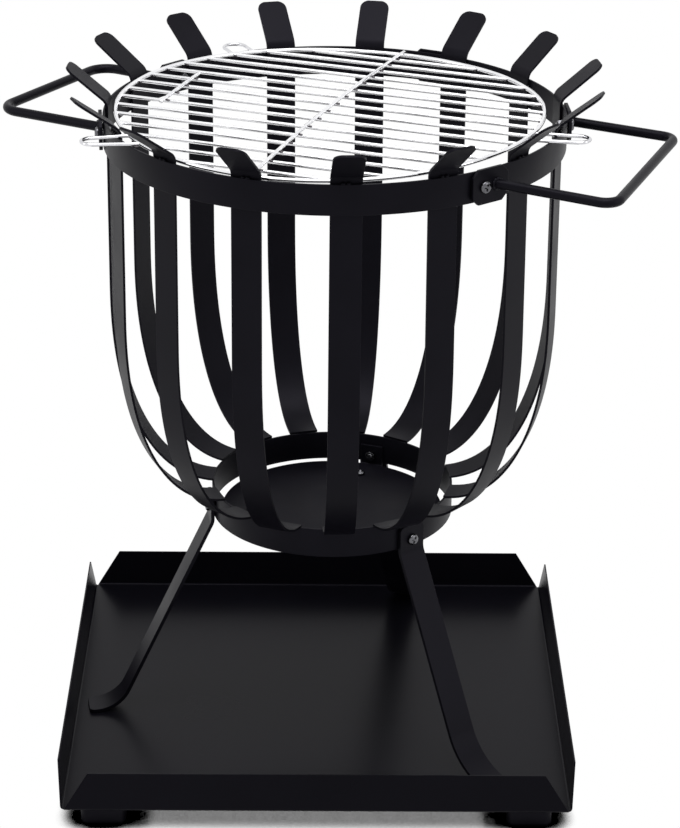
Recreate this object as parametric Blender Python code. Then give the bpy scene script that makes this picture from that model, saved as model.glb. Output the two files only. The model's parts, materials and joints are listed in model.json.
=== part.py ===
"""Fire basket with a grill grate, three strip legs and a folded ash tray.

Metres, +Z up. The origin is on the basket's axis at the level of the ground,
+X is to the right as seen from the front and +Y points to the back.
"""

import math

import bmesh
import bpy
from mathutils import Matrix, Vector

# Clearance between pieces that touch on the real basket
GAP = 0.0003

# Ash tray: one folded steel sheet on four pressed feet
TRAY_SIZE = 0.420
TRAY_SHEET = 0.0012
TRAY_BEND = 0.0022
FLANGE_HEIGHT = 0.035
FLANGE_NOTCH = 0.0235
FLANGE_SPLAY = 0.0028
CORNER_RELIEF = 0.0030
TRAY_SHIFT = -0.0118
FOOT_SIZE = 0.037
FOOT_HEIGHT = 0.0185
FOOT_SIDE_INSET = 0.016
FOOT_FRONT_INSET = 0.010
FOOT_SHEET = 0.0012
FOOT_CORNER = 0.006
FOOT_EDGE = 0.003

# Hoops: flat strip rolled into rings
HOOP_STRIP = 0.025
HOOP_THICKNESS = 0.002
TOP_HOOP_RADIUS = 0.1888
TOP_HOOP_TOP = 0.552
BASE_HOOP_RADIUS = 0.1026
BASE_HOOP_TOP = 0.2235
HOOP_FACETS = 120
JOINT_AZIMUTH = math.radians(64)
JOINT_LENGTH = 0.034
JOINT_HEIGHT = 0.029
JOINT_SHEET = 0.002
JOINT_CHAMFER = 0.007

# Slats: flat strip, flared out over the top hoop and curved in to the base hoop
SLAT_COUNT = 15
SLAT_START = math.radians(-87.6)
SLAT_WIDTH = 0.025
SLAT_THICKNESS = 0.002
FLARE_ANGLE = math.radians(57)
FLARE_BEND = 0.020
FLARE_LENGTH = 0.030
TIP_CORNER = 0.0055
BELLY_TOP = 0.400
BELLY_FLOOR_INSET = 0.0056
BELLY_FULLNESS = 2.3

# Legs: heavier strip, bolted outside the base hoop
LEG_AZIMUTHS = {"front_right": -51.0, "back": 69.0, "left": 189.0}
LEG_WIDTH = 0.025
LEG_THICKNESS = 0.003
LEG_BOLT_HEIGHT = 0.0075
LEG_TOP_ABOVE_BOLT = 0.0125
LEG_SPLAY = math.radians(25.6)
LEG_TOP_BEND = 0.012
LEG_FOOT_BEND = 0.030
LEG_FOOT_FLAT = 0.001
LEG_CORNER = 0.004

# Plate in the base hoop, on three small angle brackets
PLATE_MARGIN = 0.0066
PLATE_THICKNESS = 0.0015
PLATE_RISE = 0.0005
BRACKET_WIDTH = 0.020
BRACKET_THICKNESS = 0.002
BRACKET_BEND = 0.003
BRACKET_ABOVE_BOLT = 0.009
BRACKET_SHELF = 0.036
PLATE_SCREW_INSET = 0.0306

# Handles: round rod bent to a U, with a chamfered lug welded on each end
# Each end's bolt and corner are azimuths, and its reach is the corner's distance out from the hoop
HANDLE_BOLTS = {"right_front": -53.3, "right_back": 1.6, "left_front": 187.3, "left_back": 134.5}
HANDLE_CORNERS = {"right_front": -42.8, "right_back": -5.0, "left_front": 171.5, "left_back": 142.6}
HANDLE_REACH = {"right_front": 0.1010, "right_back": 0.0935, "left_front": 0.0915, "left_back": 0.0745}
HANDLE_ROD = 0.008
HANDLE_CORNER = 0.018
LUG_LENGTH = 0.032
LUG_HEIGHT = 0.027
LUG_THICKNESS = 0.003
LUG_CHAMFER = 0.006
LUG_BOLT_OFFSET = 0.006
LUG_ROD_OFFSET = 0.006

# Pan head screws and hexagon nuts
M5_SHANK = 0.005
M5_HEAD = 0.0098
M5_HEAD_HEIGHT = 0.0032
M5_NUT = 0.008
M5_NUT_HEIGHT = 0.004
M4_SHANK = 0.004
M4_HEAD = 0.0078
M4_HEAD_HEIGHT = 0.0026
M4_NUT = 0.007
M4_NUT_HEIGHT = 0.0032
THREAD_BEYOND_NUT = 0.0015

# Grate: chromed wire
GRATE_PLAY = 0.0143
RIM_WIRE = 0.0035
BAR_WIRE = 0.003
BAR_COUNT = 16
BAR_EDGE = 0.0133
BAR_DIRECTION = math.radians(-21.5)
BAR_SHIFT = -0.0054
LONG_WIRE_ASIDE = 0.0025
LONG_WIRE_SLIDE = 0.006
SHORT_WIRE_INSET = 0.0385
SHORT_WIRE_BARS = 5
SHORT_WIRE_END = 0.0025
WELD_SINK = 0.0005
GRATE_SHIFT = -0.0035
REST_AZIMUTHS = {"left": 209.2, "right": -24.0, "back": 115.0}
REST_SKEWS = {"left": -12.0, "right": 7.0, "back": 5.0}
REST_HALF_WIDTH = 0.0085
REST_OVERHANG = 0.032

# Facets of the round pieces
ROD_SIDES = 12
WIRE_SIDES = 8
RIM_FACETS = 72
PLATE_FACETS = 72
SCREW_SIDES = 12
NUT_SIDES = 12

# Heights and radii that follow from the sizes above
TRAY_FLOOR_TOP = FOOT_HEIGHT + TRAY_SHEET
BASE_HOOP_BOTTOM = BASE_HOOP_TOP - HOOP_STRIP
TOP_HOOP_MIDDLE = TOP_HOOP_TOP - HOOP_STRIP / 2
LEG_BOLT_Z = BASE_HOOP_BOTTOM + LEG_BOLT_HEIGHT
PLATE_TOP = BASE_HOOP_BOTTOM + PLATE_RISE
PLATE_BOTTOM = PLATE_TOP - PLATE_THICKNESS
BRACKET_SHELF_TOP = PLATE_BOTTOM - GAP
BRACKET_SHELF_BOTTOM = BRACKET_SHELF_TOP - BRACKET_THICKNESS
TOP_WIRE_Z = TOP_HOOP_TOP + GAP + BAR_WIRE / 2
RIM_Z = TOP_WIRE_Z - BAR_WIRE / 2 - GAP - RIM_WIRE / 2
BAR_Z = TOP_WIRE_Z - BAR_WIRE + WELD_SINK


def inside_seat(ring_radius, flat_width):
    """Radius of a flat strip's outer face when its edges rest inside a round ring."""
    return math.sqrt((ring_radius - GAP) ** 2 - (flat_width / 2) ** 2)


TOP_HOOP_INNER = TOP_HOOP_RADIUS - HOOP_THICKNESS
BASE_HOOP_INNER = BASE_HOOP_RADIUS - HOOP_THICKNESS
BELLY_FLOOR_RADIUS = BASE_HOOP_INNER - BELLY_FLOOR_INSET
PLATE_RADIUS = BASE_HOOP_INNER - PLATE_MARGIN
PLATE_SCREW_RADIUS = BASE_HOOP_INNER - PLATE_SCREW_INSET
GRATE_RADIUS = TOP_HOOP_RADIUS - GRATE_PLAY
BAR_PITCH = 2 * (GRATE_RADIUS - BAR_EDGE) / (BAR_COUNT - 1)
SLAT_RADIUS = inside_seat(TOP_HOOP_INNER, SLAT_WIDTH) - SLAT_THICKNESS / 2
LEG_RADIUS = BASE_HOOP_RADIUS + GAP + LEG_THICKNESS / 2
BRACKET_RADIUS = inside_seat(BASE_HOOP_INNER, BRACKET_WIDTH) - BRACKET_THICKNESS / 2


def clear_scene():
    for thing in list(bpy.data.objects):
        bpy.data.objects.remove(thing)


def finish(name, colour, metallic, roughness):
    """A Principled BSDF finish, made once under its name."""
    if name in bpy.data.materials:
        return bpy.data.materials[name]
    material = bpy.data.materials.new(name)
    material.use_nodes = True
    shader = material.node_tree.nodes["Principled BSDF"]
    shader.inputs["Base Color"].default_value = (*colour, 1.0)
    shader.inputs["Metallic"].default_value = metallic
    shader.inputs["Roughness"].default_value = roughness
    return material


def black_coat(piece_kind):
    """Satin black powder coat on steel."""
    return finish(piece_kind + "_black_coat", (0.011, 0.011, 0.013), 0.0, 0.42)


def chrome_wire():
    return finish("grate_chrome", (0.78, 0.78, 0.80), 1.0, 0.12)


def zinc(piece_kind):
    return finish(piece_kind + "_zinc", (0.52, 0.52, 0.54), 1.0, 0.28)


def add_object(name, mesh_data, material, smooth_below=35):
    """Turns a finished bmesh into a named object in the scene."""
    bmesh.ops.recalc_face_normals(mesh_data, faces=mesh_data.faces)
    mesh = bpy.data.meshes.new(name)
    mesh_data.to_mesh(mesh)
    mesh_data.free()
    mesh.shade_smooth()
    mesh.set_sharp_from_angle(angle=math.radians(smooth_below))
    if material:
        mesh.materials.append(material)
    thing = bpy.data.objects.new(name, mesh)
    bpy.context.scene.collection.objects.link(thing)
    return thing


def turn_to(thing, azimuth):
    thing.rotation_euler = (0, 0, azimuth)
    return thing


def walk(start, heading, moves):
    """Points along straight runs and bends in a plane.

    The heading is an angle from the first axis. A move is ("run", length) or
    ("bend", radius, angle, steps), where a positive angle turns left.
    """
    points = [Vector(start)]
    for move in moves:
        here = points[-1]
        if move[0] == "run":
            points.append(here + move[1] * Vector((math.cos(heading), math.sin(heading))))
            continue
        _, radius, angle, steps = move
        side = math.copysign(1, angle)
        centre = here + side * radius * Vector((-math.sin(heading), math.cos(heading)))
        for step in range(1, steps + 1):
            turned = heading + angle * step / steps
            points.append(centre - side * radius * Vector((-math.sin(turned), math.cos(turned))))
        heading += angle
    return points


def rounded_end(length, half_width, corner, steps=4):
    """(distance from the end, half width) where a strip's corners are rounded."""
    stations = []
    for step in range(steps + 1):
        angle = math.radians(90) * step / steps
        distance = corner * (1 - math.cos(angle))
        stations.append((distance, half_width - corner * (1 - math.sin(angle))))
    return [station for station in stations if station[0] < length]


def strip_stations(path, half_width, first_corner=0.0, last_corner=0.0):
    """Adds the stations of rounded ends to a strip's path and gives each its half width."""
    stations = [(point, half_width) for point in path]
    if first_corner:
        along = path[1] - path[0]
        ends = rounded_end(along.length, half_width, first_corner)
        rounded = [(path[0] + along.normalized() * far, width) for far, width in ends]
        stations = rounded + stations[1:]
    if last_corner:
        along = path[-2] - path[-1]
        ends = rounded_end(along.length, half_width, last_corner)
        rounded = [(path[-1] + along.normalized() * far, width) for far, width in reversed(ends)]
        stations = stations[:-1] + rounded
    return stations


def strip_solid(name, stations, thickness, material):
    """A bent flat strip whose path lies in the XZ plane, X outwards."""
    mesh_data = bmesh.new()
    rings = []
    last = len(stations) - 1
    for index, (point, half_width) in enumerate(stations):
        before = stations[max(index - 1, 0)][0]
        after = stations[min(index + 1, last)][0]
        along = (after - before).normalized()
        across = Vector((-along.y, along.x)) * thickness / 2
        corners = ((1, 1), (1, -1), (-1, -1), (-1, 1))
        ring = []
        for face_side, edge_side in corners:
            spot = point + across * face_side
            ring.append(mesh_data.verts.new((spot.x, edge_side * half_width, spot.y)))
        rings.append(ring)
    for ring, following in zip(rings, rings[1:]):
        for corner in range(4):
            nearby = (corner + 1) % 4
            mesh_data.faces.new((ring[corner], ring[nearby], following[nearby], following[corner]))
    mesh_data.faces.new(rings[0])
    mesh_data.faces.new(rings[-1])
    return add_object(name, mesh_data, material)


def ring_around(centre, along, up, radius, sides, cut_plane=None):
    """Corners of a rod's cross-section, slid along the rod onto a plane where it is cut."""
    side = along.cross(up).normalized()
    raised = side.cross(along)
    corners = []
    for index in range(sides):
        angle = 2 * math.pi * index / sides
        corner = centre + radius * (math.cos(angle) * side + math.sin(angle) * raised)
        if cut_plane:
            spot, normal = cut_plane
            corner += along * ((spot - corner).dot(normal) / along.dot(normal))
        corners.append(corner)
    return corners


def rod_mesh(path, wire, sides, closed=False, cuts=(None, None)):
    """A round rod along a path that lies flat, as a bmesh."""
    mesh_data = bmesh.new()
    up = Vector((0, 0, 1))
    count = len(path)
    rings = []
    for index, point in enumerate(path):
        before = path[index - 1] if index or closed else path[0]
        after = path[(index + 1) % count] if index < count - 1 or closed else path[-1]
        arriving = (point - before).normalized()
        leaving = (after - point).normalized()
        along = (arriving + leaving).normalized()
        stretch = 1 / max(along.dot(leaving), 0.5) if arriving.length and leaving.length else 1
        cut = cuts[0] if index == 0 else cuts[1] if index == count - 1 else None
        corners = ring_around(point, along, up, wire / 2, sides, cut)
        side = along.cross(up).normalized()
        for corner in corners:
            corner += side * (corner - point).dot(side) * (stretch - 1)
        rings.append([mesh_data.verts.new(corner) for corner in corners])
    pairs = list(zip(rings, rings[1:] + rings[:1])) if closed else list(zip(rings, rings[1:]))
    for ring, following in pairs:
        for corner in range(sides):
            nearby = (corner + 1) % sides
            mesh_data.faces.new((ring[corner], ring[nearby], following[nearby], following[corner]))
    if not closed:
        mesh_data.faces.new(rings[0])
        mesh_data.faces.new(rings[-1])
    return mesh_data


def turned_solid(name, profile, sides, material):
    """A solid of revolution about its own Z from (radius, height) points that start and end on it."""
    mesh_data = bmesh.new()
    rings = []
    for radius, height in profile:
        if radius == 0:
            rings.append([mesh_data.verts.new((0, 0, height))])
            continue
        ring = []
        for index in range(sides):
            angle = 2 * math.pi * index / sides
            spot = (radius * math.cos(angle), radius * math.sin(angle), height)
            ring.append(mesh_data.verts.new(spot))
        rings.append(ring)
    for ring, following in zip(rings, rings[1:]):
        for index in range(sides):
            nearby = (index + 1) % sides
            corners = [ring[index % len(ring)], ring[nearby % len(ring)]]
            corners += [following[nearby % len(following)], following[index % len(following)]]
            mesh_data.faces.new(list(dict.fromkeys(corners)))
    return add_object(name, mesh_data, material)


def prism_mesh(outline, low, high):
    """A flat outline of (x, y) points raised from one height to another."""
    mesh_data = bmesh.new()
    bottom = [mesh_data.verts.new((x, y, low)) for x, y in outline]
    face = mesh_data.faces.new(bottom)
    raised = bmesh.ops.extrude_face_region(mesh_data, geom=[face])
    moved = [item for item in raised["geom"] if isinstance(item, bmesh.types.BMVert)]
    bmesh.ops.translate(mesh_data, verts=moved, vec=(0, 0, high - low))
    return mesh_data


def ring_solid(name, outer, thickness, bottom, height, material):
    """A strip rolled into a hoop and welded end to end."""
    mesh_data = bmesh.new()
    corners = ((outer, bottom), (outer, bottom + height))
    corners += ((outer - thickness, bottom + height), (outer - thickness, bottom))
    loops = []
    for radius, z in corners:
        loop = []
        for index in range(HOOP_FACETS):
            angle = 2 * math.pi * index / HOOP_FACETS
            loop.append(mesh_data.verts.new((radius * math.cos(angle), radius * math.sin(angle), z)))
        loops.append(loop)
    for loop, following in zip(loops, loops[1:] + loops[:1]):
        for index in range(HOOP_FACETS):
            nearby = (index + 1) % HOOP_FACETS
            mesh_data.faces.new((loop[index], loop[nearby], following[nearby], following[index]))
    return add_object(name, mesh_data, material)


def as_helper(thing):
    thing.hide_render = True
    thing.display_type = "WIRE"
    return thing


def hole_cutters(name, axes, diameter, length):
    """Drills along each (point, direction), as one cutting object."""
    mesh_data = bmesh.new()
    for spot, direction in axes:
        place = Matrix.Translation(spot) @ direction.to_track_quat("Z", "Y").to_matrix().to_4x4()
        bmesh.ops.create_cone(
            mesh_data, cap_ends=True, segments=SCREW_SIDES, radius1=diameter / 2,
            radius2=diameter / 2, depth=length, matrix=place,
        )
    return as_helper(add_object(name, mesh_data, None))


def join_or_cut(thing, other, operation):
    modifier = thing.modifiers.new(operation.title() + " " + other.name, "BOOLEAN")
    modifier.operation = operation
    modifier.object = other
    modifier.solver = "EXACT"
    return modifier


def radial(azimuth):
    return Vector((math.cos(azimuth), math.sin(azimuth), 0))


def tangent(azimuth):
    return Vector((-math.sin(azimuth), math.cos(azimuth), 0))


def place_along(piece, spot, direction):
    """Sets a turned piece down with its own Z along a direction."""
    turn = direction.to_track_quat("Z", "Y").to_matrix().to_4x4()
    piece.matrix_basis = Matrix.Translation(spot) @ turn
    return piece


def pan_head_screw(name, shank, head, head_height, length, material):
    """Shank up its own Z from the head's seat at zero, with the domed head below."""
    rim = head_height * 0.45
    profile = (
        (0, -head_height), (head * 0.28, -head_height * 0.97), (head * 0.42, -head_height * 0.78),
        (head / 2, -rim), (head / 2, 0), (shank / 2, 0), (shank / 2, length), (0, length),
    )
    return turned_solid(name, profile, SCREW_SIDES, material)


def hexagon_nut(name, across_flats, height, bore, material):
    """Nut standing on its own XY plane, with a plain bore."""
    mesh_data = bmesh.new()
    loops = []
    for z in (0, height):
        for kind in ("outside", "bore"):
            loop = []
            for index in range(NUT_SIDES):
                angle = 2 * math.pi * index / NUT_SIDES
                radius = bore / 2
                if kind == "outside":
                    radius = across_flats / 2 / (math.cos(math.pi / 6) if index % 2 else 1)
                loop.append(mesh_data.verts.new((radius * math.cos(angle), radius * math.sin(angle), z)))
            loops.append(loop)
    outside_low, bore_low, outside_high, bore_high = loops
    for first, second in (
        (outside_low, outside_high), (outside_high, bore_high),
        (bore_high, bore_low), (bore_low, outside_low),
    ):
        for index in range(NUT_SIDES):
            nearby = (index + 1) % NUT_SIDES
            mesh_data.faces.new((first[index], first[nearby], second[nearby], second[index]))
    return add_object(name, mesh_data, material)


def ash_tray():
    """Square sheet with its four edges folded up and the corners left open."""
    half = TRAY_SIZE / 2
    middle = FOOT_HEIGHT + TRAY_SHEET / 2
    bend = TRAY_BEND + TRAY_SHEET / 2
    rise = FLANGE_HEIGHT - TRAY_SHEET / 2
    mesh_data = bmesh.new()
    floor = []
    for quarter in range(4):
        splay = FLANGE_SPLAY if quarter % 2 == 0 else 0.0
        lean = math.atan2(splay, rise)
        outer = half - TRAY_SHEET / 2
        bend_path = walk((outer - bend, middle), 0, [("bend", bend, math.radians(90) - lean, 4)])
        top = Vector((outer + splay, middle + rise))
        rows = [*bend_path, top]
        turn = Matrix.Rotation(math.radians(90) * quarter, 4, "Z")
        previous = None
        for index, row in enumerate(rows):
            climb = (row.y - middle) / rise
            half_length = half - CORNER_RELIEF - (FLANGE_NOTCH - CORNER_RELIEF) * climb
            ends = [Vector((row.x, side * half_length, row.y)) for side in (-1, 1)]
            pair = [mesh_data.verts.new(turn @ end) for end in ends]
            if previous:
                mesh_data.faces.new((previous[0], pair[0], pair[1], previous[1]))
            else:
                floor += pair
            previous = pair
    mesh_data.faces.new(floor)
    tray = add_object("ash_tray", mesh_data, black_coat("tray"))
    tray.location.x = TRAY_SHIFT
    sheet = tray.modifiers.new("Sheet", "SOLIDIFY")
    sheet.thickness = TRAY_SHEET
    sheet.offset = 0
    sheet.use_even_offset = True
    return tray


def tray_foot(name, across, deep):
    """Pressed cup, open against the underside of the tray."""
    height = FOOT_HEIGHT - GAP
    mesh_data = bmesh.new()
    bmesh.ops.create_cube(mesh_data, size=1.0, matrix=Matrix.Diagonal((FOOT_SIZE, FOOT_SIZE, height, 1)))
    upright = [edge for edge in mesh_data.edges if abs(edge.verts[0].co.z - edge.verts[1].co.z) > height / 2]
    bmesh.ops.bevel(
        mesh_data, geom=upright, offset=FOOT_CORNER, segments=3, profile=0.5, affect="EDGES",
    )
    under = [
        edge for edge in mesh_data.edges
        if all(vert.co.z < -height / 2 + GAP for vert in edge.verts)
    ]
    bmesh.ops.bevel(mesh_data, geom=under, offset=FOOT_EDGE, segments=2, profile=0.5, affect="EDGES")
    lids = [
        face for face in mesh_data.faces
        if all(vert.co.z > height / 2 - GAP for vert in face.verts)
    ]
    bmesh.ops.delete(mesh_data, geom=lids, context="FACES_ONLY")
    foot = add_object(name, mesh_data, black_coat("tray_foot"))
    outermost = (TRAY_SIZE - FOOT_SIZE) / 2
    aside = across * (outermost - FOOT_SIDE_INSET)
    foot.location = (TRAY_SHIFT + aside, deep * (outermost - FOOT_FRONT_INSET), height / 2)
    sheet = foot.modifiers.new("Sheet", "SOLIDIFY")
    sheet.thickness = FOOT_SHEET
    sheet.offset = -1
    sheet.use_even_offset = True
    return foot


def bolt_axes(azimuths, radius, z):
    return [(radial(azimuth) * radius + Vector((0, 0, z)), radial(azimuth)) for azimuth in azimuths]


def chamfered(half_length, half_height, cut):
    """Rectangle outline with its four corners cut off."""
    quarter = ((half_length, half_height - cut), (half_length - cut, half_height))
    outline = [*quarter]
    outline += [(-x, y) for x, y in reversed(quarter)]
    outline += [(-x, -y) for x, y in quarter]
    outline += [(x, -y) for x, y in reversed(quarter)]
    return outline


def standing_plate(outline, inner, thickness):
    """Flat plate upright against the top hoop, facing along X."""
    mesh_data = prism_mesh(outline, inner, inner + thickness)
    upright = Matrix(((0, 0, 1, 0), (1, 0, 0, 0), (0, 1, 0, TOP_HOOP_MIDDLE), (0, 0, 0, 1)))
    bmesh.ops.transform(mesh_data, matrix=upright, verts=mesh_data.verts)
    return mesh_data


def top_hoop(handle_bolt_azimuths):
    bottom = TOP_HOOP_TOP - HOOP_STRIP
    hoop = ring_solid("top_hoop", TOP_HOOP_RADIUS, HOOP_THICKNESS, bottom, HOOP_STRIP, black_coat("hoop"))
    axes = bolt_axes(handle_bolt_azimuths, TOP_HOOP_RADIUS, TOP_HOOP_MIDDLE)
    drills = hole_cutters("top_hoop_drills", axes, M5_SHANK + 2 * GAP, 10 * HOOP_THICKNESS)
    join_or_cut(hoop, drills, "DIFFERENCE")
    return hoop


def hoop_joint():
    """Chamfered plate welded over the hoop's ends, where the rolled strip meets itself."""
    half_length = JOINT_LENGTH / 2
    half_height = JOINT_HEIGHT / 2
    outline = chamfered(half_length, half_height, JOINT_CHAMFER)
    seat = TOP_HOOP_RADIUS + GAP
    mesh_data = standing_plate(outline, seat, JOINT_SHEET)
    return turn_to(add_object("hoop_joint_plate", mesh_data, black_coat("hoop")), JOINT_AZIMUTH)


def base_hoop(leg_azimuths):
    hoop = ring_solid(
        "base_hoop", BASE_HOOP_RADIUS, HOOP_THICKNESS, BASE_HOOP_BOTTOM, HOOP_STRIP, black_coat("hoop"),
    )
    axes = bolt_axes(leg_azimuths, BASE_HOOP_RADIUS, LEG_BOLT_Z)
    drills = hole_cutters("base_hoop_drills", axes, M5_SHANK + 2 * GAP, 10 * HOOP_THICKNESS)
    join_or_cut(hoop, drills, "DIFFERENCE")
    return hoop


def belly_path(steps=14):
    """Slat from the base hoop up to its straight part, on a full oval curve."""
    reach = SLAT_RADIUS - BELLY_FLOOR_RADIUS
    seat_z = BASE_HOOP_TOP + GAP + SLAT_THICKNESS / 2
    end_radius = BASE_HOOP_INNER
    power = 2 / BELLY_FULLNESS
    end_angle = math.acos(((end_radius - BELLY_FLOOR_RADIUS) / reach) ** (1 / power))
    drop = (BELLY_TOP - seat_z) / math.sin(end_angle) ** power
    points = []
    for step in range(steps + 1):
        angle = end_angle * (1 - step / steps)
        radius = BELLY_FLOOR_RADIUS + reach * math.cos(angle) ** power
        points.append(Vector((radius, BELLY_TOP - drop * math.sin(angle) ** power)))
    return points


def slat(name, azimuth):
    """One slat: belly, straight part behind the top hoop, and the tip flared outwards."""
    flare = walk(
        (SLAT_RADIUS, TOP_HOOP_TOP), math.radians(90),
        [("bend", FLARE_BEND, -FLARE_ANGLE, 6), ("run", FLARE_LENGTH)],
    )
    stations = strip_stations(belly_path() + flare, SLAT_WIDTH / 2, last_corner=TIP_CORNER)
    return turn_to(strip_solid(name, stations, SLAT_THICKNESS, black_coat("slat")), azimuth)


def leg_path():
    """Leg from its top, flat on the hoop, down and out to the foot flat on the tray."""
    foot_z = TRAY_FLOOR_TOP + GAP + LEG_THICKNESS / 2
    top = (LEG_RADIUS, LEG_BOLT_Z + LEG_TOP_ABOVE_BOLT)
    bend_start = BASE_HOOP_BOTTOM - GAP
    foot_turn = math.radians(90) - LEG_SPLAY
    bend_drop = LEG_TOP_BEND * math.sin(LEG_SPLAY)
    foot_drop = LEG_FOOT_BEND * (1 - math.sin(LEG_SPLAY))
    run = (bend_start - bend_drop - foot_drop - foot_z) / math.cos(LEG_SPLAY)
    return walk(
        top, math.radians(-90),
        [
            ("run", top[1] - bend_start), ("bend", LEG_TOP_BEND, LEG_SPLAY, 4), ("run", run),
            ("bend", LEG_FOOT_BEND, foot_turn, 8), ("run", LEG_FOOT_FLAT + LEG_CORNER),
        ],
    )


def leg(name, azimuth):
    stations = strip_stations(leg_path(), LEG_WIDTH / 2, first_corner=LEG_CORNER, last_corner=LEG_CORNER)
    thing = turn_to(strip_solid(name, stations, LEG_THICKNESS, black_coat("leg")), azimuth)
    drill = hole_cutters(
        name + "_drill", bolt_axes([azimuth], LEG_RADIUS, LEG_BOLT_Z), M5_SHANK + 2 * GAP, 4 * LEG_THICKNESS,
    )
    join_or_cut(thing, drill, "DIFFERENCE")
    return thing


def plate_screw_axes(leg_azimuths):
    return [
        (radial(azimuth) * PLATE_SCREW_RADIUS + Vector((0, 0, PLATE_TOP)), Vector((0, 0, 1)))
        for azimuth in leg_azimuths
    ]


def base_plate(leg_azimuths):
    """Round floor plate that holds the embers."""
    outline = [
        (PLATE_RADIUS * math.cos(angle), PLATE_RADIUS * math.sin(angle))
        for angle in (2 * math.pi * index / PLATE_FACETS for index in range(PLATE_FACETS))
    ]
    plate = add_object("base_plate", prism_mesh(outline, PLATE_BOTTOM, PLATE_TOP), black_coat("plate"))
    drills = hole_cutters(
        "base_plate_drills", plate_screw_axes(leg_azimuths), M4_SHANK + 2 * GAP, 6 * PLATE_THICKNESS,
    )
    join_or_cut(plate, drills, "DIFFERENCE")
    return plate


def plate_bracket(name, azimuth):
    """Small angle: upright on the leg's bolt, shelf under the plate."""
    top = LEG_BOLT_Z + BRACKET_ABOVE_BOLT
    middle = BRACKET_SHELF_TOP - BRACKET_THICKNESS / 2
    bend = BRACKET_BEND - BRACKET_THICKNESS / 2
    drop = top - middle - bend
    shelf = BRACKET_SHELF - bend
    path = walk(
        (BRACKET_RADIUS, top), math.radians(-90),
        [("run", drop), ("bend", bend, math.radians(-90), 4), ("run", shelf)],
    )
    stations = strip_stations(path, BRACKET_WIDTH / 2)
    thing = turn_to(strip_solid(name, stations, BRACKET_THICKNESS, black_coat("bracket")), azimuth)
    long_drill = 6 * BRACKET_THICKNESS
    upright = bolt_axes([azimuth], BRACKET_RADIUS, LEG_BOLT_Z)
    join_or_cut(
        thing, hole_cutters(name + "_bolt_drill", upright, M5_SHANK + 2 * GAP, long_drill), "DIFFERENCE",
    )
    shelf_drill = hole_cutters(
        name + "_screw_drill", plate_screw_axes([azimuth]), M4_SHANK + 2 * GAP, long_drill,
    )
    join_or_cut(thing, shelf_drill, "DIFFERENCE")
    return thing


def lug_azimuth(bolt_azimuth, towards):
    """Azimuth of a lug's middle, a little along the hoop from its bolt."""
    return bolt_azimuth + towards * math.atan2(LUG_BOLT_OFFSET, TOP_HOOP_RADIUS)


def lug_helper(name, azimuth):
    """Chamfered lug plate, standing against the outside of the top hoop."""
    outline = chamfered(LUG_LENGTH / 2, LUG_HEIGHT / 2, LUG_CHAMFER)
    mesh_data = standing_plate(outline, TOP_HOOP_RADIUS + GAP, LUG_THICKNESS)
    return turn_to(as_helper(add_object(name, mesh_data, None)), azimuth)


def filleted(corners, radius, steps=6):
    """Open path through corner points, with each inner corner rounded."""
    path = [corners[0]]
    for before, corner, after in zip(corners, corners[1:], corners[2:]):
        arriving = (corner - before).normalized()
        leaving = (after - corner).normalized()
        turn = arriving.angle(leaving)
        back = radius * math.tan(turn / 2)
        start = corner - arriving * back
        inward = (leaving - arriving).normalized()
        centre = corner + inward * (radius / math.cos(turn / 2))
        axis = arriving.cross(leaving).normalized()
        for step in range(steps + 1):
            path.append(centre + Matrix.Rotation(turn * step / steps, 3, axis) @ (start - centre))
    path.append(corners[-1])
    return path


def handle(side_name):
    """U of round rod, each end cut to its lug and welded on it."""
    name = "handle_" + side_name
    ends = [side_name + "_front", side_name + "_back"]
    lug_radius = TOP_HOOP_RADIUS + GAP + LUG_THICKNESS / 2
    height = Vector((0, 0, TOP_HOOP_MIDDLE))
    middle = sum(HANDLE_BOLTS[end] for end in ends) / len(ends)
    roots = []
    corners = []
    planes = []
    lugs = []
    for end in ends:
        towards = math.copysign(1, middle - HANDLE_BOLTS[end])
        place = lug_azimuth(math.radians(HANDLE_BOLTS[end]), towards)
        root = radial(place) * lug_radius + towards * tangent(place) * LUG_ROD_OFFSET + height
        roots.append(root)
        corner = radial(math.radians(HANDLE_CORNERS[end])) * (TOP_HOOP_RADIUS + HANDLE_REACH[end])
        corners.append(corner + height)
        planes.append((root, radial(place)))
        lugs.append(lug_helper("handle_lug_" + end, place))
    path = filleted([roots[0], *corners, roots[1]], HANDLE_CORNER)
    thing = add_object(name, rod_mesh(path, HANDLE_ROD, ROD_SIDES, cuts=planes), black_coat("handle"))
    for lug in lugs:
        join_or_cut(thing, lug, "UNION")
    bolts = [math.radians(HANDLE_BOLTS[end]) for end in ends]
    axes = bolt_axes(bolts, lug_radius, TOP_HOOP_MIDDLE)
    drills = hole_cutters(name + "_drills", axes, M5_SHANK + 2 * GAP, 4 * LUG_THICKNESS)
    join_or_cut(thing, drills, "DIFFERENCE")
    return thing


def radial_fasteners(kind, azimuths, z, outer_face, inner_face):
    """M5 screws from outside through to hexagon nuts inside, on radial axes."""
    seat = outer_face + GAP
    nut_seat = inner_face - GAP
    length = seat - nut_seat + M5_NUT_HEIGHT + THREAD_BEYOND_NUT
    height = Vector((0, 0, z))
    for where, azimuth in azimuths.items():
        screw = pan_head_screw(
            f"{kind}_screw_{where}", M5_SHANK, M5_HEAD, M5_HEAD_HEIGHT, length, zinc("screw"),
        )
        place_along(screw, radial(azimuth) * seat + height, -radial(azimuth))
        nut = hexagon_nut(
            f"{kind}_nut_{where}", M5_NUT, M5_NUT_HEIGHT, M5_SHANK + 2 * GAP, zinc("nut"),
        )
        place_along(nut, radial(azimuth) * nut_seat + height, -radial(azimuth))


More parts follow.
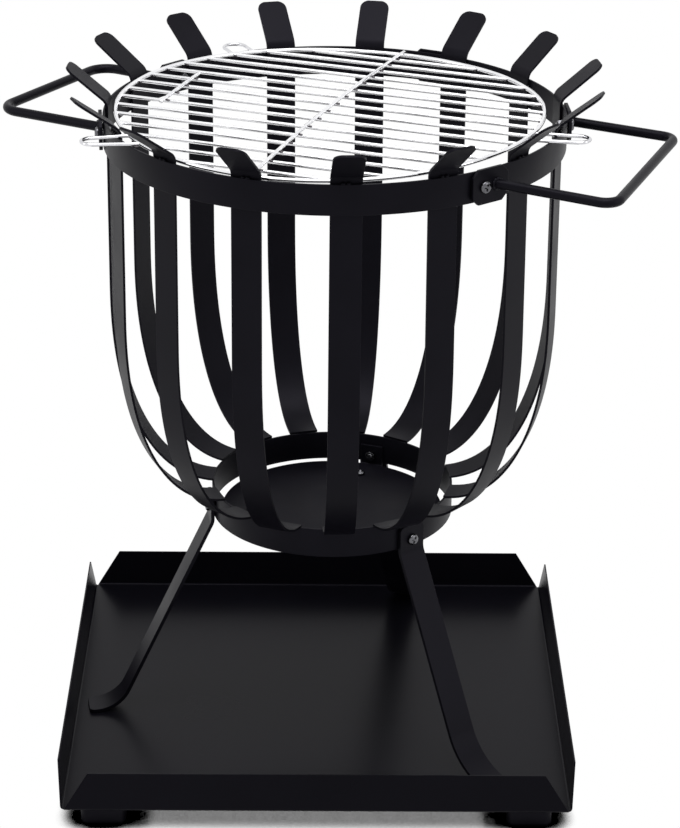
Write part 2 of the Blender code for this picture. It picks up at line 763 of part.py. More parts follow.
def plate_fasteners(azimuths):
    """M4 screws down through the plate and each bracket's shelf, with nuts below."""
    seat = PLATE_TOP + GAP
    nut_seat = BRACKET_SHELF_BOTTOM - GAP
    length = seat - nut_seat + M4_NUT_HEIGHT + THREAD_BEYOND_NUT
    down = Vector((0, 0, -1))
    for where, azimuth in azimuths.items():
        spot = radial(azimuth) * PLATE_SCREW_RADIUS
        screw = pan_head_screw(
            f"plate_screw_{where}", M4_SHANK, M4_HEAD, M4_HEAD_HEIGHT, length, zinc("screw"),
        )
        place_along(screw, spot + Vector((0, 0, seat)), down)
        nut = hexagon_nut(
            f"plate_nut_{where}", M4_NUT, M4_NUT_HEIGHT, M4_SHANK + 2 * GAP, zinc("nut"),
        )
        place_along(nut, spot + Vector((0, 0, nut_seat)), down)


def grate_centre(z):
    return Vector((GRATE_SHIFT, 0, z))


def grate_rim():
    radius = GRATE_RADIUS - RIM_WIRE / 2
    path = [
        grate_centre(RIM_Z) + radial(2 * math.pi * index / RIM_FACETS) * radius
        for index in range(RIM_FACETS)
    ]
    return add_object("grate_rim", rod_mesh(path, RIM_WIRE, WIRE_SIDES, closed=True), chrome_wire(), 60)


def grate_bars():
    """Mat of parallel bars inside the rim, spot-welded to a long and a short wire on top of them."""
    along = radial(BAR_DIRECTION)
    aside = tangent(BAR_DIRECTION)
    middle = grate_centre(TOP_WIRE_Z) + along * LONG_WIRE_ASIDE + aside * LONG_WIRE_SLIDE
    ends = [middle - aside * GRATE_RADIUS, middle + aside * GRATE_RADIUS]
    mat = add_object("grate_bars", rod_mesh(ends, BAR_WIRE, WIRE_SIDES), chrome_wire(), 60)
    half = (SHORT_WIRE_BARS - 1) * BAR_PITCH / 2 + SHORT_WIRE_END
    middle = grate_centre(TOP_WIRE_Z) - along * (GRATE_RADIUS - SHORT_WIRE_INSET)
    middle += aside * (BAR_SHIFT + BAR_PITCH / 2)
    wires = {"grate_short_wire": (middle, aside * half)}
    for index in range(BAR_COUNT):
        across = (index - (BAR_COUNT - 1) / 2) * BAR_PITCH + BAR_SHIFT
        half = math.sqrt((GRATE_RADIUS - RIM_WIRE - GAP) ** 2 - (abs(across) + BAR_WIRE / 2) ** 2)
        wires[f"grate_bar_{index + 1:02d}"] = (grate_centre(BAR_Z) + aside * across, along * half)
    for name, (middle, reach) in wires.items():
        wire = rod_mesh([middle - reach, middle + reach], BAR_WIRE, WIRE_SIDES)
        join_or_cut(mat, as_helper(add_object(name, wire, None)), "UNION")
    return mat


def grate_rest(side_name):
    """Bent wire loop on the rim that lies on the top edge of the hoop."""
    azimuth = math.radians(REST_AZIMUTHS[side_name])
    outwards = radial(azimuth + math.radians(REST_SKEWS[side_name]))
    aside = Vector((-outwards.y, outwards.x, 0))
    root = GRATE_RADIUS - RIM_WIRE + GAP
    straight = TOP_HOOP_RADIUS + REST_OVERHANG - root - BAR_WIRE / 2 - REST_HALF_WIDTH
    start = grate_centre(TOP_WIRE_Z) + radial(azimuth) * root
    flat = walk(
        (0, -REST_HALF_WIDTH), 0,
        [("run", straight), ("bend", REST_HALF_WIDTH, math.radians(180), 10), ("run", straight)],
    )
    path = [start + outwards * point.x + aside * point.y for point in flat]
    name = "grate_rest_" + side_name
    return add_object(name, rod_mesh(path, BAR_WIRE, WIRE_SIDES), chrome_wire(), 60)


clear_scene()
leg_azimuths = {side: math.radians(azimuth) for side, azimuth in LEG_AZIMUTHS.items()}
handle_bolt_azimuths = {end: math.radians(azimuth) for end, azimuth in HANDLE_BOLTS.items()}

ash_tray()
for depth_name, deep in (("front", -1), ("back", 1)):
    for across_name, across in (("left", -1), ("right", 1)):
        tray_foot(f"tray_foot_{depth_name}_{across_name}", across, deep)

top_hoop(handle_bolt_azimuths.values())
hoop_joint()
base_hoop(leg_azimuths.values())
for number in range(SLAT_COUNT):
    slat(f"slat_{number + 1:02d}", SLAT_START + 2 * math.pi * number / SLAT_COUNT)

base_plate(leg_azimuths.values())
for side_name, azimuth in leg_azimuths.items():
    leg("leg_" + side_name, azimuth)
    plate_bracket("plate_bracket_" + side_name, azimuth)
radial_fasteners(
    "leg", leg_azimuths, LEG_BOLT_Z, LEG_RADIUS + LEG_THICKNESS / 2, BRACKET_RADIUS - BRACKET_THICKNESS / 2,
)
plate_fasteners(leg_azimuths)

for side_name in ("right", "left"):
    handle(side_name)
radial_fasteners(
    "handle", handle_bolt_azimuths, TOP_HOOP_MIDDLE, TOP_HOOP_RADIUS + GAP + LUG_THICKNESS,
    inside_seat(TOP_HOOP_INNER, M5_NUT),
)

grate_rim()
grate_bars()
for side_name in REST_AZIMUTHS:
    grate_rest(side_name)
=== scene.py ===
"""Fire basket with a wire grill grate in a folded ash tray, dressed for a studio picture.

Metres, +Z up, the basket's axis at x = y = 0 and the ground at z = 0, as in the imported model.
The sections follow the object as it is put together, from the tray's feet up to the grate.
"""

import json
import math

import bmesh
import bpy
from mathutils import Matrix, Vector


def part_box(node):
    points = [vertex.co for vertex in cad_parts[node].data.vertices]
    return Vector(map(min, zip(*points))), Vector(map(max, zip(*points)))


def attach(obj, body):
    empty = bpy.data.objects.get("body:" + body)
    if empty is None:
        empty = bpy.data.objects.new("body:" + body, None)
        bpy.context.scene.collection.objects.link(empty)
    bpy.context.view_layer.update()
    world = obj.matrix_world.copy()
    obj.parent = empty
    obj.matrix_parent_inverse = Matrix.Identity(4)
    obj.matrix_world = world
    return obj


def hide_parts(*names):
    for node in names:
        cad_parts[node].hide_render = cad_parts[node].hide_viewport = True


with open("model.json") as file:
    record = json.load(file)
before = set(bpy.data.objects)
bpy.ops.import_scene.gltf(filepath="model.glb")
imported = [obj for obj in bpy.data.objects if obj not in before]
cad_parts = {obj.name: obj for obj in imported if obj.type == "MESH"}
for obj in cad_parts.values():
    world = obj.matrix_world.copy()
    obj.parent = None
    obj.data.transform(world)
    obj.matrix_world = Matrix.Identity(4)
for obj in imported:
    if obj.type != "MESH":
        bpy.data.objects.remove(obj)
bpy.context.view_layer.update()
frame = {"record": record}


# Tray feet
# Four small cups pressed from steel sheet, with a flat underside and rounded edges.
# They are welded open side up under the corners of the tray and coated with it.

FOOT_SHEET = 0.0012
FOOT_CORNER = 0.006
FOOT_EDGE = 0.003
FOOT_LIP = 0.0004
FOOT_CORNER_STEPS = 6
FOOT_EDGE_STEPS = 5
COAT_BLACK = (0.0030, 0.0028, 0.0044)
COAT_GREY = (0.0050, 0.0047, 0.0072)
COAT_SHINE = 0.09
COAT_TINT = (0.86, 0.83, 1.0)
COAT_ROUGHNESS = (0.36, 0.47)
PEEL_SIZE = 0.0011
PEEL_DEPTH = 0.00003
PEEL_DETAIL = 1.0
CLOUD_SIZE = 0.045
CLOUD_DETAIL = 4.0
PLAIN_GRAIN = 0.5
NOISE_RANGE = (0.3, 0.7)
PIECE_SHIFT = 40.0
SMOOTH_BELOW = 40

slot_of = {entry["node"]: entry["material_slot"] for entry in frame["record"]["subparts"]}


def add_node(tree, kind, settings=None, **sockets):
    """A node with its properties set, and its inputs given as values or joined from other nodes."""
    node = tree.nodes.new("ShaderNode" + kind)
    for name, value in (settings or {}).items():
        setattr(node, name, value)
    for name, value in sockets.items():
        socket = node.inputs[name.replace("_", " ")]
        if isinstance(value, bpy.types.NodeSocket):
            tree.links.new(value, socket)
        else:
            socket.default_value = value
    return node


def pattern(tree, space, shift, size, detail, grain):
    """Noise with features of about this size in metres, as a socket from 0 to 1."""
    noise = add_node(
        tree, "TexNoise", {"noise_dimensions": "4D"},
        Vector=space, W=shift, Scale=1 / size, Detail=detail, Roughness=grain,
    )
    return noise.outputs["Fac"]


def spread(tree, factor, low, high):
    """Maps the middle of a noise's range onto low to high."""
    node = add_node(tree, "MapRange", {"clamp": True}, Value=factor)
    node.inputs["From Min"].default_value, node.inputs["From Max"].default_value = NOISE_RANGE
    node.inputs["To Min"].default_value = low
    node.inputs["To Max"].default_value = high
    return node.outputs["Result"]


def mottled_finish(name, tones, roughness, patches, marks, **sockets):
    """Two tones and two levels of gloss in the same soft patches, over a fine bump.

    patches give the size, detail and grain of a noise, and marks the size, detail and depth of
    the bump. Each piece shows another part of the pattern.
    """
    material = bpy.data.materials.new(name)
    material.use_nodes = True
    tree = material.node_tree
    shader = tree.nodes["Principled BSDF"]
    for socket, value in sockets.items():
        shader.inputs[socket.replace("_", " ")].default_value = value
    space = add_node(tree, "TexCoord").outputs["Object"]
    product = add_node(tree, "Math", {"operation": "MULTIPLY"})
    tree.links.new(add_node(tree, "ObjectInfo").outputs["Random"], product.inputs[0])
    product.inputs[1].default_value = PIECE_SHIFT
    shift = product.outputs[0]
    clouds = pattern(tree, space, shift, *patches)
    tone = add_node(tree, "Mix", {"data_type": "RGBA"})
    tree.links.new(spread(tree, clouds, 0.0, 1.0), tone.inputs["Factor"])
    for socket, colour in zip("AB", tones):
        tone.inputs[socket].default_value = (*colour, 1.0)
    tree.links.new(tone.outputs["Result"], shader.inputs["Base Color"])
    tree.links.new(spread(tree, clouds, *roughness), shader.inputs["Roughness"])
    size, detail, depth = marks
    relief = pattern(tree, space, shift, size, detail, PLAIN_GRAIN)
    bump = add_node(tree, "Bump", Height=relief, Distance=depth, Strength=1.0)
    tree.links.new(bump.outputs["Normal"], shader.inputs["Normal"])
    return material


def powder_coat(name, cloud_size=CLOUD_SIZE, roughness=COAT_ROUGHNESS, shine=COAT_SHINE):
    """Satin black powder coat: faint clouds in tone and gloss over a fine orange peel."""
    return mottled_finish(
        name, (COAT_BLACK, COAT_GREY), roughness,
        (cloud_size, CLOUD_DETAIL, PLAIN_GRAIN), (PEEL_SIZE, PEEL_DETAIL, PEEL_DEPTH),
        Specular_IOR_Level=shine, Specular_Tint=(*COAT_TINT, 1.0),
    )


def new_piece(name, mesh_data, material, smooth_below=SMOOTH_BELOW):
    """Turns a finished bmesh into a named object, smooth but for its sharp edges."""
    bmesh.ops.recalc_face_normals(mesh_data, faces=mesh_data.faces)
    mesh = bpy.data.meshes.new(name)
    mesh_data.to_mesh(mesh)
    mesh_data.free()
    mesh.shade_smooth()
    mesh.set_sharp_from_angle(angle=math.radians(smooth_below))
    mesh.materials.append(material)
    piece = bpy.data.objects.new(name, mesh)
    bpy.context.scene.collection.objects.link(piece)
    return piece


def sheet_thickness(piece, thickness, offset=0.0):
    solid = piece.modifiers.new("Sheet", "SOLIDIFY")
    solid.thickness = thickness
    solid.offset = offset
    solid.use_even_offset = True


def soft_edges(piece, radius, segments=3, above=SMOOTH_BELOW):
    """Rounds the sharp edges and keeps the flats flat in their shading."""
    piece.data.shade_smooth()
    bevel = piece.modifiers.new("Soft edges", "BEVEL")
    bevel.width = radius
    bevel.segments = segments
    bevel.limit_method = "ANGLE"
    bevel.angle_limit = math.radians(above)
    bevel.use_clamp_overlap = True
    shading = piece.modifiers.new("Flat flats", "WEIGHTED_NORMAL")
    shading.weight = 100


def seat(piece, body, *nodes, slot=None):
    """The piece moves with the body and stands for the nodes, which it hides."""
    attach(piece, body)
    if nodes:
        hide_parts(*nodes)
    return piece


foot_coat = powder_coat("foot_coat")
for place in ("front_left", "front_right", "back_left", "back_right"):
    low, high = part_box("tray_foot_" + place)
    size = high - low
    cup = bmesh.new()
    bmesh.ops.create_cube(cup, size=1.0, matrix=Matrix.Diagonal((*size, 1.0)))
    upright = [edge for edge in cup.edges if edge.verts[0].co.z * edge.verts[1].co.z < 0]
    bmesh.ops.bevel(
        cup, geom=upright, offset=FOOT_CORNER, segments=FOOT_CORNER_STEPS, profile=0.5, affect="EDGES",
    )
    under = [edge for edge in cup.edges if all(vert.co.z < 0 for vert in edge.verts)]
    bmesh.ops.bevel(
        cup, geom=under, offset=FOOT_EDGE, segments=FOOT_EDGE_STEPS, profile=0.5, affect="EDGES",
    )
    lids = [face for face in cup.faces if all(vert.co.z > 0 for vert in face.verts)]
    bmesh.ops.delete(cup, geom=lids, context="FACES_ONLY")
    foot = new_piece("foot_" + place, cup, foot_coat)
    foot.location = (low + high) / 2
    sheet_thickness(foot, FOOT_SHEET, offset=-1)
    soft_edges(foot, FOOT_LIP)
    seat(foot, "tray", "tray_foot_" + place)


# Ash tray
# One square of 1.2 mm steel sheet with its four edges folded up into flanges.
# The flanges are cut back at the corners, and the two at the sides lean out a little.

TRAY_SHEET = 0.0012
TRAY_BEND = 0.0028
FLANGE_NOTCH = 0.0235
FLANGE_SPLAY = 0.0028
CORNER_RELIEF = 0.0030
TRAY_EDGE = 0.0004
TRAY_CLOUDS = 0.16
TRAY_SHINE = 0.06
TRAY_ROUGHNESS = (0.27, 0.31)
BEND_STEP = 6
BEND_FEWEST_STEPS = 4


def walk(start, heading, moves):
    """Points in a plane, along moves of ("run", length) and ("bend", radius, angle)."""
    points = [Vector(start)]
    for move in moves:
        here = points[-1]
        if move[0] == "run":
            points.append(here + move[1] * Vector((math.cos(heading), math.sin(heading))))
            continue
        _, radius, angle = move
        side = math.copysign(1, angle)
        centre = here + side * radius * Vector((-math.sin(heading), math.cos(heading)))
        steps = max(BEND_FEWEST_STEPS, round(abs(math.degrees(angle)) / BEND_STEP))
        for step in range(1, steps + 1):
            turned = heading + angle * step / steps
            points.append(centre - side * radius * Vector((-math.sin(turned), math.cos(turned))))
        heading += angle
    return points


low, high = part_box("ash_tray")
tray_half = (high.y - low.y) / 2
tray_shift = (high.x + low.x) / 2
sheet_middle = low.z + TRAY_SHEET / 2
rise = high.z - sheet_middle
bend = TRAY_BEND - TRAY_SHEET / 2
tray_sheet = bmesh.new()
floor_corners = []
for quarter in range(4):
    splay = FLANGE_SPLAY if quarter % 2 == 0 else 0.0
    lean = math.atan2(splay, rise)
    outer = tray_half - TRAY_SHEET / 2
    rows = walk((outer - bend, sheet_middle), 0, [("bend", bend, math.radians(90) - lean)])
    rows.append(Vector((outer + splay, high.z)))
    turn = Matrix.Rotation(math.radians(90) * quarter, 4, "Z")
    previous = None
    for row in rows:
        climb = (row.y - sheet_middle) / rise
        half_length = tray_half - CORNER_RELIEF - (FLANGE_NOTCH - CORNER_RELIEF) * climb
        spots = [turn @ Vector((row.x, side * half_length, row.y)) for side in (-1, 1)]
        pair = [tray_sheet.verts.new(spot) for spot in spots]
        if previous:
            tray_sheet.faces.new((previous[0], pair[0], pair[1], previous[1]))
        else:
            floor_corners += pair
        previous = pair
tray_sheet.faces.new(floor_corners)
tray_coat = powder_coat("tray_coat", TRAY_CLOUDS, TRAY_ROUGHNESS, TRAY_SHINE)
tray = new_piece("tray", tray_sheet, tray_coat)
tray.location.x = tray_shift
sheet_thickness(tray, TRAY_SHEET)
soft_edges(tray, TRAY_EDGE)
seat(tray, "tray", "ash_tray")


# Base hoop and top hoop
# Flat steel strip, 25 by 2 mm, rolled into rings and welded end to end. The strip's
# edges are slightly rounded. A chamfered plate covers the joint of the top hoop.

HOOP_THICKNESS = 0.002
STRIP_EDGE = 0.0005
HOOP_FACETS = 288
EDGE_STEPS = 4
ROUND_SMOOTH = 60
JOINT_AZIMUTH = math.radians(64)
JOINT_LENGTH = 0.034
JOINT_HEIGHT = 0.029
JOINT_CHAMFER = 0.007
JOINT_SHEET = 0.002
SEAT_GAP = 0.0003

hoop_coat = powder_coat("hoop_coat")


def rounded_box_outline(left, right, bottom, top, radius):
    """Outline of a strip's section, with its four edges rounded."""
    outline = []
    for quarter, (x, z) in enumerate(
        ((right - radius, top - radius), (left + radius, top - radius),
         (left + radius, bottom + radius), (right - radius, bottom + radius))
    ):
        for step in range(EDGE_STEPS + 1):
            angle = math.radians(90) * (quarter + step / EDGE_STEPS)
            outline.append((x + radius * math.cos(angle), z + radius * math.sin(angle)))
    return outline


def rolled_hoop(name, outer, bottom, top):
    """A strip standing on edge, turned about the basket's axis."""
    ring = bmesh.new()
    section = rounded_box_outline(outer - HOOP_THICKNESS, outer, bottom, top, STRIP_EDGE)
    turns = []
    for index in range(HOOP_FACETS):
        angle = 2 * math.pi * index / HOOP_FACETS
        across, along = math.cos(angle), math.sin(angle)
        turns.append([ring.verts.new((radius * across, radius * along, z)) for radius, z in section])
    for here, following in zip(turns, turns[1:] + turns[:1]):
        for index in range(len(section)):
            nearby = (index + 1) % len(section)
            ring.faces.new((here[index], here[nearby], following[nearby], following[index]))
    return new_piece(name, ring, hoop_coat, ROUND_SMOOTH)


def chamfered(half_length, half_height, cut):
    """Rectangle outline with its four corners cut off."""
    corner = ((half_length, half_height - cut), (half_length - cut, half_height))
    outline = [*corner]
    outline += [(-x, y) for x, y in reversed(corner)]
    outline += [(-x, -y) for x, y in corner]
    outline += [(x, -y) for x, y in reversed(corner)]
    return outline


def standing_plate(name, outline, inner, thickness, height, azimuth, material):
    """A flat plate upright against the hoop, turned to its azimuth."""
    plate = bmesh.new()
    face = plate.faces.new([plate.verts.new((inner, x, height + z)) for x, z in outline])
    raised = bmesh.ops.extrude_face_region(plate, geom=[face])
    moved = [item for item in raised["geom"] if isinstance(item, bmesh.types.BMVert)]
    bmesh.ops.translate(plate, verts=moved, vec=(thickness, 0, 0))
    piece = new_piece(name, plate, material)
    piece.rotation_euler.z = azimuth
    soft_edges(piece, STRIP_EDGE)
    return piece


hoop_radius = {}
for hoop_name in ("base_hoop", "top_hoop"):
    low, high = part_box(hoop_name)
    hoop_radius[hoop_name] = high.x
    seat(rolled_hoop(hoop_name + "_strip", high.x, low.z, high.z), "basket", hoop_name)
top_low, top_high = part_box("top_hoop")
hoop_middle = (top_low.z + top_high.z) / 2
joint_plate = standing_plate(
    "joint_plate", chamfered(JOINT_LENGTH / 2, JOINT_HEIGHT / 2, JOINT_CHAMFER),
    hoop_radius["top_hoop"] + SEAT_GAP, JOINT_SHEET, hoop_middle, JOINT_AZIMUTH, hoop_coat,
)
seat(joint_plate, "basket", "hoop_joint_plate")


# Slats
# Fifteen lengths of the same strip, bent to a full belly at the foot and flared out at
# the tip. Each stands on the base hoop, passes inside the top hoop and is welded to both.

SLAT_COUNT = 15
SLAT_START = math.radians(-87.6)
SLAT_WIDTH = 0.025
SLAT_THICKNESS = 0.002
FLARE_BEND = 0.010
FLARE_LENGTH = 0.0388
FLARE_ANGLE = 50.3
FLARE_ANGLE_OF = {4: 51.0, 8: 49.4, 11: 53.0, 13: 54.0, 14: 55.0}
LONGER_BY = {4: 0.0015, 5: 0.001, 11: 0.003, 14: 0.003}
SIDEWAYS_OF = {
    1: 0.0010, 2: -0.0010, 3: -0.0018, 6: 0.0010, 7: -0.0013, 8: 0.0006, 9: 0.0013, 10: 0.0012,
    11: 0.0010, 12: -0.0012,
}
TIP_CORNER = 0.0075
BELLY_TOP = 0.400
BELLY_FLOOR_INSET = 0.0056
BELLY_FULLNESS = 2.3
BELLY_STEPS = 40
CORNER_STEPS = 7
STRIP_BEVEL_ABOVE = 60
SIDEWAYS_POWER = 1.5
WELD_LENGTH = 0.009
WELD_RADIUS = 0.0013
NUB_LENGTH = 0.0034
NUB_SPACING = 0.0040
NUB_RADIUS = 0.0017
NUB_PROUD = 0.6
ROD_SIDES = 16
BEAD_SIDES = 12
BEAD_STEPS = 4
BEAD_TAPER = 0.4
BEAD_END = 0.02
BEAD_RIPPLE = 0.1
BEAD_SMOOTH = 70

slat_coat = powder_coat("slat_coat")
base_inner = hoop_radius["base_hoop"] - HOOP_THICKNESS
top_inner = hoop_radius["top_hoop"] - HOOP_THICKNESS
slat_radius = math.sqrt((top_inner - SEAT_GAP) ** 2 - (SLAT_WIDTH / 2) ** 2) - SLAT_THICKNESS / 2
base_hoop_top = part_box("base_hoop")[1].z


def belly_path():
    """Slat from the base hoop up to its straight part, on a full oval curve."""
    floor_radius = base_inner - BELLY_FLOOR_INSET
    reach = slat_radius - floor_radius
    seat_z = base_hoop_top + SEAT_GAP + SLAT_THICKNESS / 2
    power = 2 / BELLY_FULLNESS
    end_angle = math.acos(((base_inner - floor_radius) / reach) ** (1 / power))
    drop = (BELLY_TOP - seat_z) / math.sin(end_angle) ** power
    points = []
    for step in range(BELLY_STEPS + 1):
        angle = end_angle * (1 - step / BELLY_STEPS)
        radius = floor_radius + reach * math.cos(angle) ** power
        points.append(Vector((radius, BELLY_TOP - drop * math.sin(angle) ** power)))
    return points


def rounded_end(length, half_width, corner):
    """(distance from the end, half width) where a strip's corners are rounded."""
    stations = []
    for step in range(CORNER_STEPS + 1):
        angle = math.radians(90) * step / CORNER_STEPS
        distance = corner * (1 - math.cos(angle))
        stations.append((distance, half_width - corner * (1 - math.sin(angle))))
    return [station for station in stations if station[0] < length]


def strip_stations(path, half_width, first_corner=0.0, last_corner=0.0):
    """Gives each point of a strip's path its half width, with stations for rounded ends."""
    stations = [(point, half_width) for point in path]
    if first_corner:
        along = path[1] - path[0]
        ends = rounded_end(along.length, half_width, first_corner)
        stations = [(path[0] + along.normalized() * far, width) for far, width in ends] + stations[1:]
    if last_corner:
        along = path[-2] - path[-1]
        ends = rounded_end(along.length, half_width, last_corner)
        rounded = [(path[-1] + along.normalized() * far, width) for far, width in reversed(ends)]
        stations = stations[:-1] + rounded
    return stations


def bent_strip(name, stations, thickness, material, azimuth, edge=STRIP_EDGE, aside=0.0):
    """A flat strip bent along a path in the XZ plane, X outwards, then turned to its azimuth.

    aside is how far its tip is pushed sideways by hand, growing from the top hoop outwards.
    """
    strip = bmesh.new()
    rows = []
    for point, half_width in stations:
        pushed = max(0.0, (point.y - top_low.z) / (FLARE_BEND + FLARE_LENGTH)) ** SIDEWAYS_POWER
        spots = [(point.x, aside * pushed + side * half_width, point.y) for side in (-1, 0, 1)]
        rows.append([strip.verts.new(spot) for spot in spots])
    for row, following in zip(rows, rows[1:]):
        for column in (0, 1):
            strip.faces.new((row[column], row[column + 1], following[column + 1], following[column]))
    piece = new_piece(name, strip, material)
    piece.rotation_euler.z = azimuth
    sheet_thickness(piece, thickness)
    soft_edges(piece, edge, above=STRIP_BEVEL_ABOVE)
    return piece


def swept_rod(rod, path, radii, sides=ROD_SIDES, closed=False):
    """Adds a round rod along a path to a bmesh, its radius given at each point."""
    count = len(path)
    rings = []
    side = None
    for index, (point, radius) in enumerate(zip(path, radii)):
        before = path[index - 1] if index or closed else path[0]
        after = path[(index + 1) % count] if index < count - 1 or closed else path[-1]
        along = (after - before).normalized()
        if side is None:
            side = along.cross(Vector((0, 0, 1)))
            side = side if side.length > 0.1 else along.cross(Vector((0, 1, 0)))
        side = (side - along * side.dot(along)).normalized()
        up = side.cross(along)
        ring = []
        for corner in range(sides):
            angle = 2 * math.pi * corner / sides
            spot = point + radius * (math.cos(angle) * side + math.sin(angle) * up)
            ring.append(rod.verts.new(spot))
        rings.append(ring)
    for ring, following in zip(rings, rings[1:] + rings[:1] if closed else rings[1:]):
        for corner in range(sides):
            nearby = (corner + 1) % sides
            rod.faces.new((ring[corner], ring[nearby], following[nearby], following[corner]))
    if not closed:
        rod.faces.new(rings[0])
        rod.faces.new(rings[-1])


def weld_bead(beads, start, end, radius, ripples=5):
    """Adds a short run of weld metal, rippled along its length and drawn in at both ends."""
    steps = ripples * BEAD_STEPS
    path = [start.lerp(end, step / steps) for step in range(steps + 1)]
    radii = []
    for step in range(steps + 1):
        share = step / steps
        full = math.sin(math.pi * min(max(share, BEAD_END), 1 - BEAD_END)) ** BEAD_TAPER
        ripple = 1 - BEAD_RIPPLE + BEAD_RIPPLE * math.cos(2 * math.pi * ripples * share)
        radii.append(radius * full * ripple)
    swept_rod(beads, path, radii, BEAD_SIDES)


def radial(azimuth):
    return Vector((math.cos(azimuth), math.sin(azimuth), 0))


def tangent(azimuth):
    return Vector((-math.sin(azimuth), math.cos(azimuth), 0))


slat_welds = bmesh.new()
for number in range(1, SLAT_COUNT + 1):
    azimuth = SLAT_START + 2 * math.pi * (number - 1) / SLAT_COUNT
    flare = walk(
        (slat_radius, top_high.z), math.radians(90),
        [
            ("bend", FLARE_BEND, -math.radians(FLARE_ANGLE_OF.get(number, FLARE_ANGLE))),
            ("run", FLARE_LENGTH + LONGER_BY.get(number, 0.0)),
        ],
    )
    stations = strip_stations(belly_path() + flare, SLAT_WIDTH / 2, last_corner=TIP_CORNER)
    slat = bent_strip(
        f"slat_strip_{number:02d}", stations, SLAT_THICKNESS, slat_coat, azimuth,
        aside=SIDEWAYS_OF.get(number, 0.0),
    )
    seat(slat, "basket", f"slat_{number:02d}")
    half = tangent(azimuth) * WELD_LENGTH / 2
    top_spot = radial(azimuth) * (slat_radius + SLAT_THICKNESS / 2 + NUB_RADIUS * NUB_PROUD)
    top_spot.z = top_high.z
    for side in (-1, 1):
        nub = top_spot + tangent(azimuth) * side * NUB_SPACING / 2
        nub_half = tangent(azimuth) * NUB_LENGTH / 2
        weld_bead(slat_welds, nub - nub_half, nub + nub_half, NUB_RADIUS, ripples=1)
    foot_spot = radial(azimuth) * (hoop_radius["base_hoop"] - HOOP_THICKNESS / 2)
    foot_spot.z = base_hoop_top
    weld_bead(slat_welds, foot_spot - half, foot_spot + half, WELD_RADIUS)
welds = new_piece("slat_welds", slat_welds, slat_coat, BEAD_SMOOTH)
seat(welds, "basket", slot=slot_of["slat_01"])


# Legs
# Three lengths of 25 by 3 mm strip, bolted to the outside of the base hoop. Each is
# splayed out just below it and bent flat again at the foot, which rests in the tray.

LEG_AZIMUTHS = {"front_right": math.radians(-51), "back": math.radians(69), "left": math.radians(189)}
LEG_WIDTH = 0.025
LEG_THICKNESS = 0.003
LEG_BOLT_HEIGHT = 0.0075
LEG_TOP_ABOVE_BOLT = 0.0125
LEG_SPLAY = math.radians(25.6)
LEG_TOP_BEND = 0.012
LEG_FOOT_BENDS = {"front_right": 0.055, "back": 0.038, "left": 0.032}
LEG_FOOT_FLAT = 0.005
LEG_CORNER = 0.004
LEG_EDGE = 0.0007

leg_coat = powder_coat("leg_coat")
tray_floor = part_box("ash_tray")[0].z + TRAY_SHEET
base_hoop_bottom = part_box("base_hoop")[0].z
leg_bolt_z = base_hoop_bottom + LEG_BOLT_HEIGHT
leg_radius = hoop_radius["base_hoop"] + SEAT_GAP + LEG_THICKNESS / 2
foot_z = tray_floor + SEAT_GAP + LEG_THICKNESS / 2
bend_start = base_hoop_bottom - SEAT_GAP
bend_drop = LEG_TOP_BEND * math.sin(LEG_SPLAY)
for place, azimuth in LEG_AZIMUTHS.items():
    foot_bend = LEG_FOOT_BENDS[place]
    foot_drop = foot_bend * (1 - math.sin(LEG_SPLAY))
    leg_run = (bend_start - bend_drop - foot_drop - foot_z) / math.cos(LEG_SPLAY)
    leg_path = walk(
        (leg_radius, leg_bolt_z + LEG_TOP_ABOVE_BOLT), math.radians(-90),
        [
            ("run", leg_bolt_z + LEG_TOP_ABOVE_BOLT - bend_start), ("bend", LEG_TOP_BEND, LEG_SPLAY),
            ("run", leg_run), ("bend", foot_bend, math.radians(90) - LEG_SPLAY),
            ("run", LEG_FOOT_FLAT),
        ],
    )
    stations = strip_stations(leg_path, LEG_WIDTH / 2, first_corner=LEG_CORNER, last_corner=LEG_CORNER)
    strip = bent_strip("leg_strip_" + place, stations, LEG_THICKNESS, leg_coat, azimuth, edge=LEG_EDGE)
    seat(strip, "basket", "leg_" + place)


# Base plate and its brackets
# A round sheet floor for the embers, held by three small angles of 20 by 2 mm strip
# that share the bolts of the legs. A gap is left round the plate for ash to fall through.

PLATE_EDGE = 0.0004
PLATE_FACETS = 144
BRACKET_WIDTH = 0.020
BRACKET_THICKNESS = 0.002
BRACKET_BEND = 0.003
BRACKET_ABOVE_BOLT = 0.009
BRACKET_SHELF = 0.036
PLATE_ROUGHNESS = (0.42, 0.55)

plate_coat = powder_coat("plate_coat", roughness=PLATE_ROUGHNESS)
low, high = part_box("base_plate")
disc = bmesh.new()
bmesh.ops.create_cone(
    disc, cap_ends=True, segments=PLATE_FACETS, radius1=high.x, radius2=high.x,
    depth=high.z - low.z, matrix=Matrix.Translation((0, 0, (low.z + high.z) / 2)),
)
plate = new_piece("ember_plate", disc, plate_coat)
soft_edges(plate, PLATE_EDGE)
seat(plate, "basket", "base_plate")

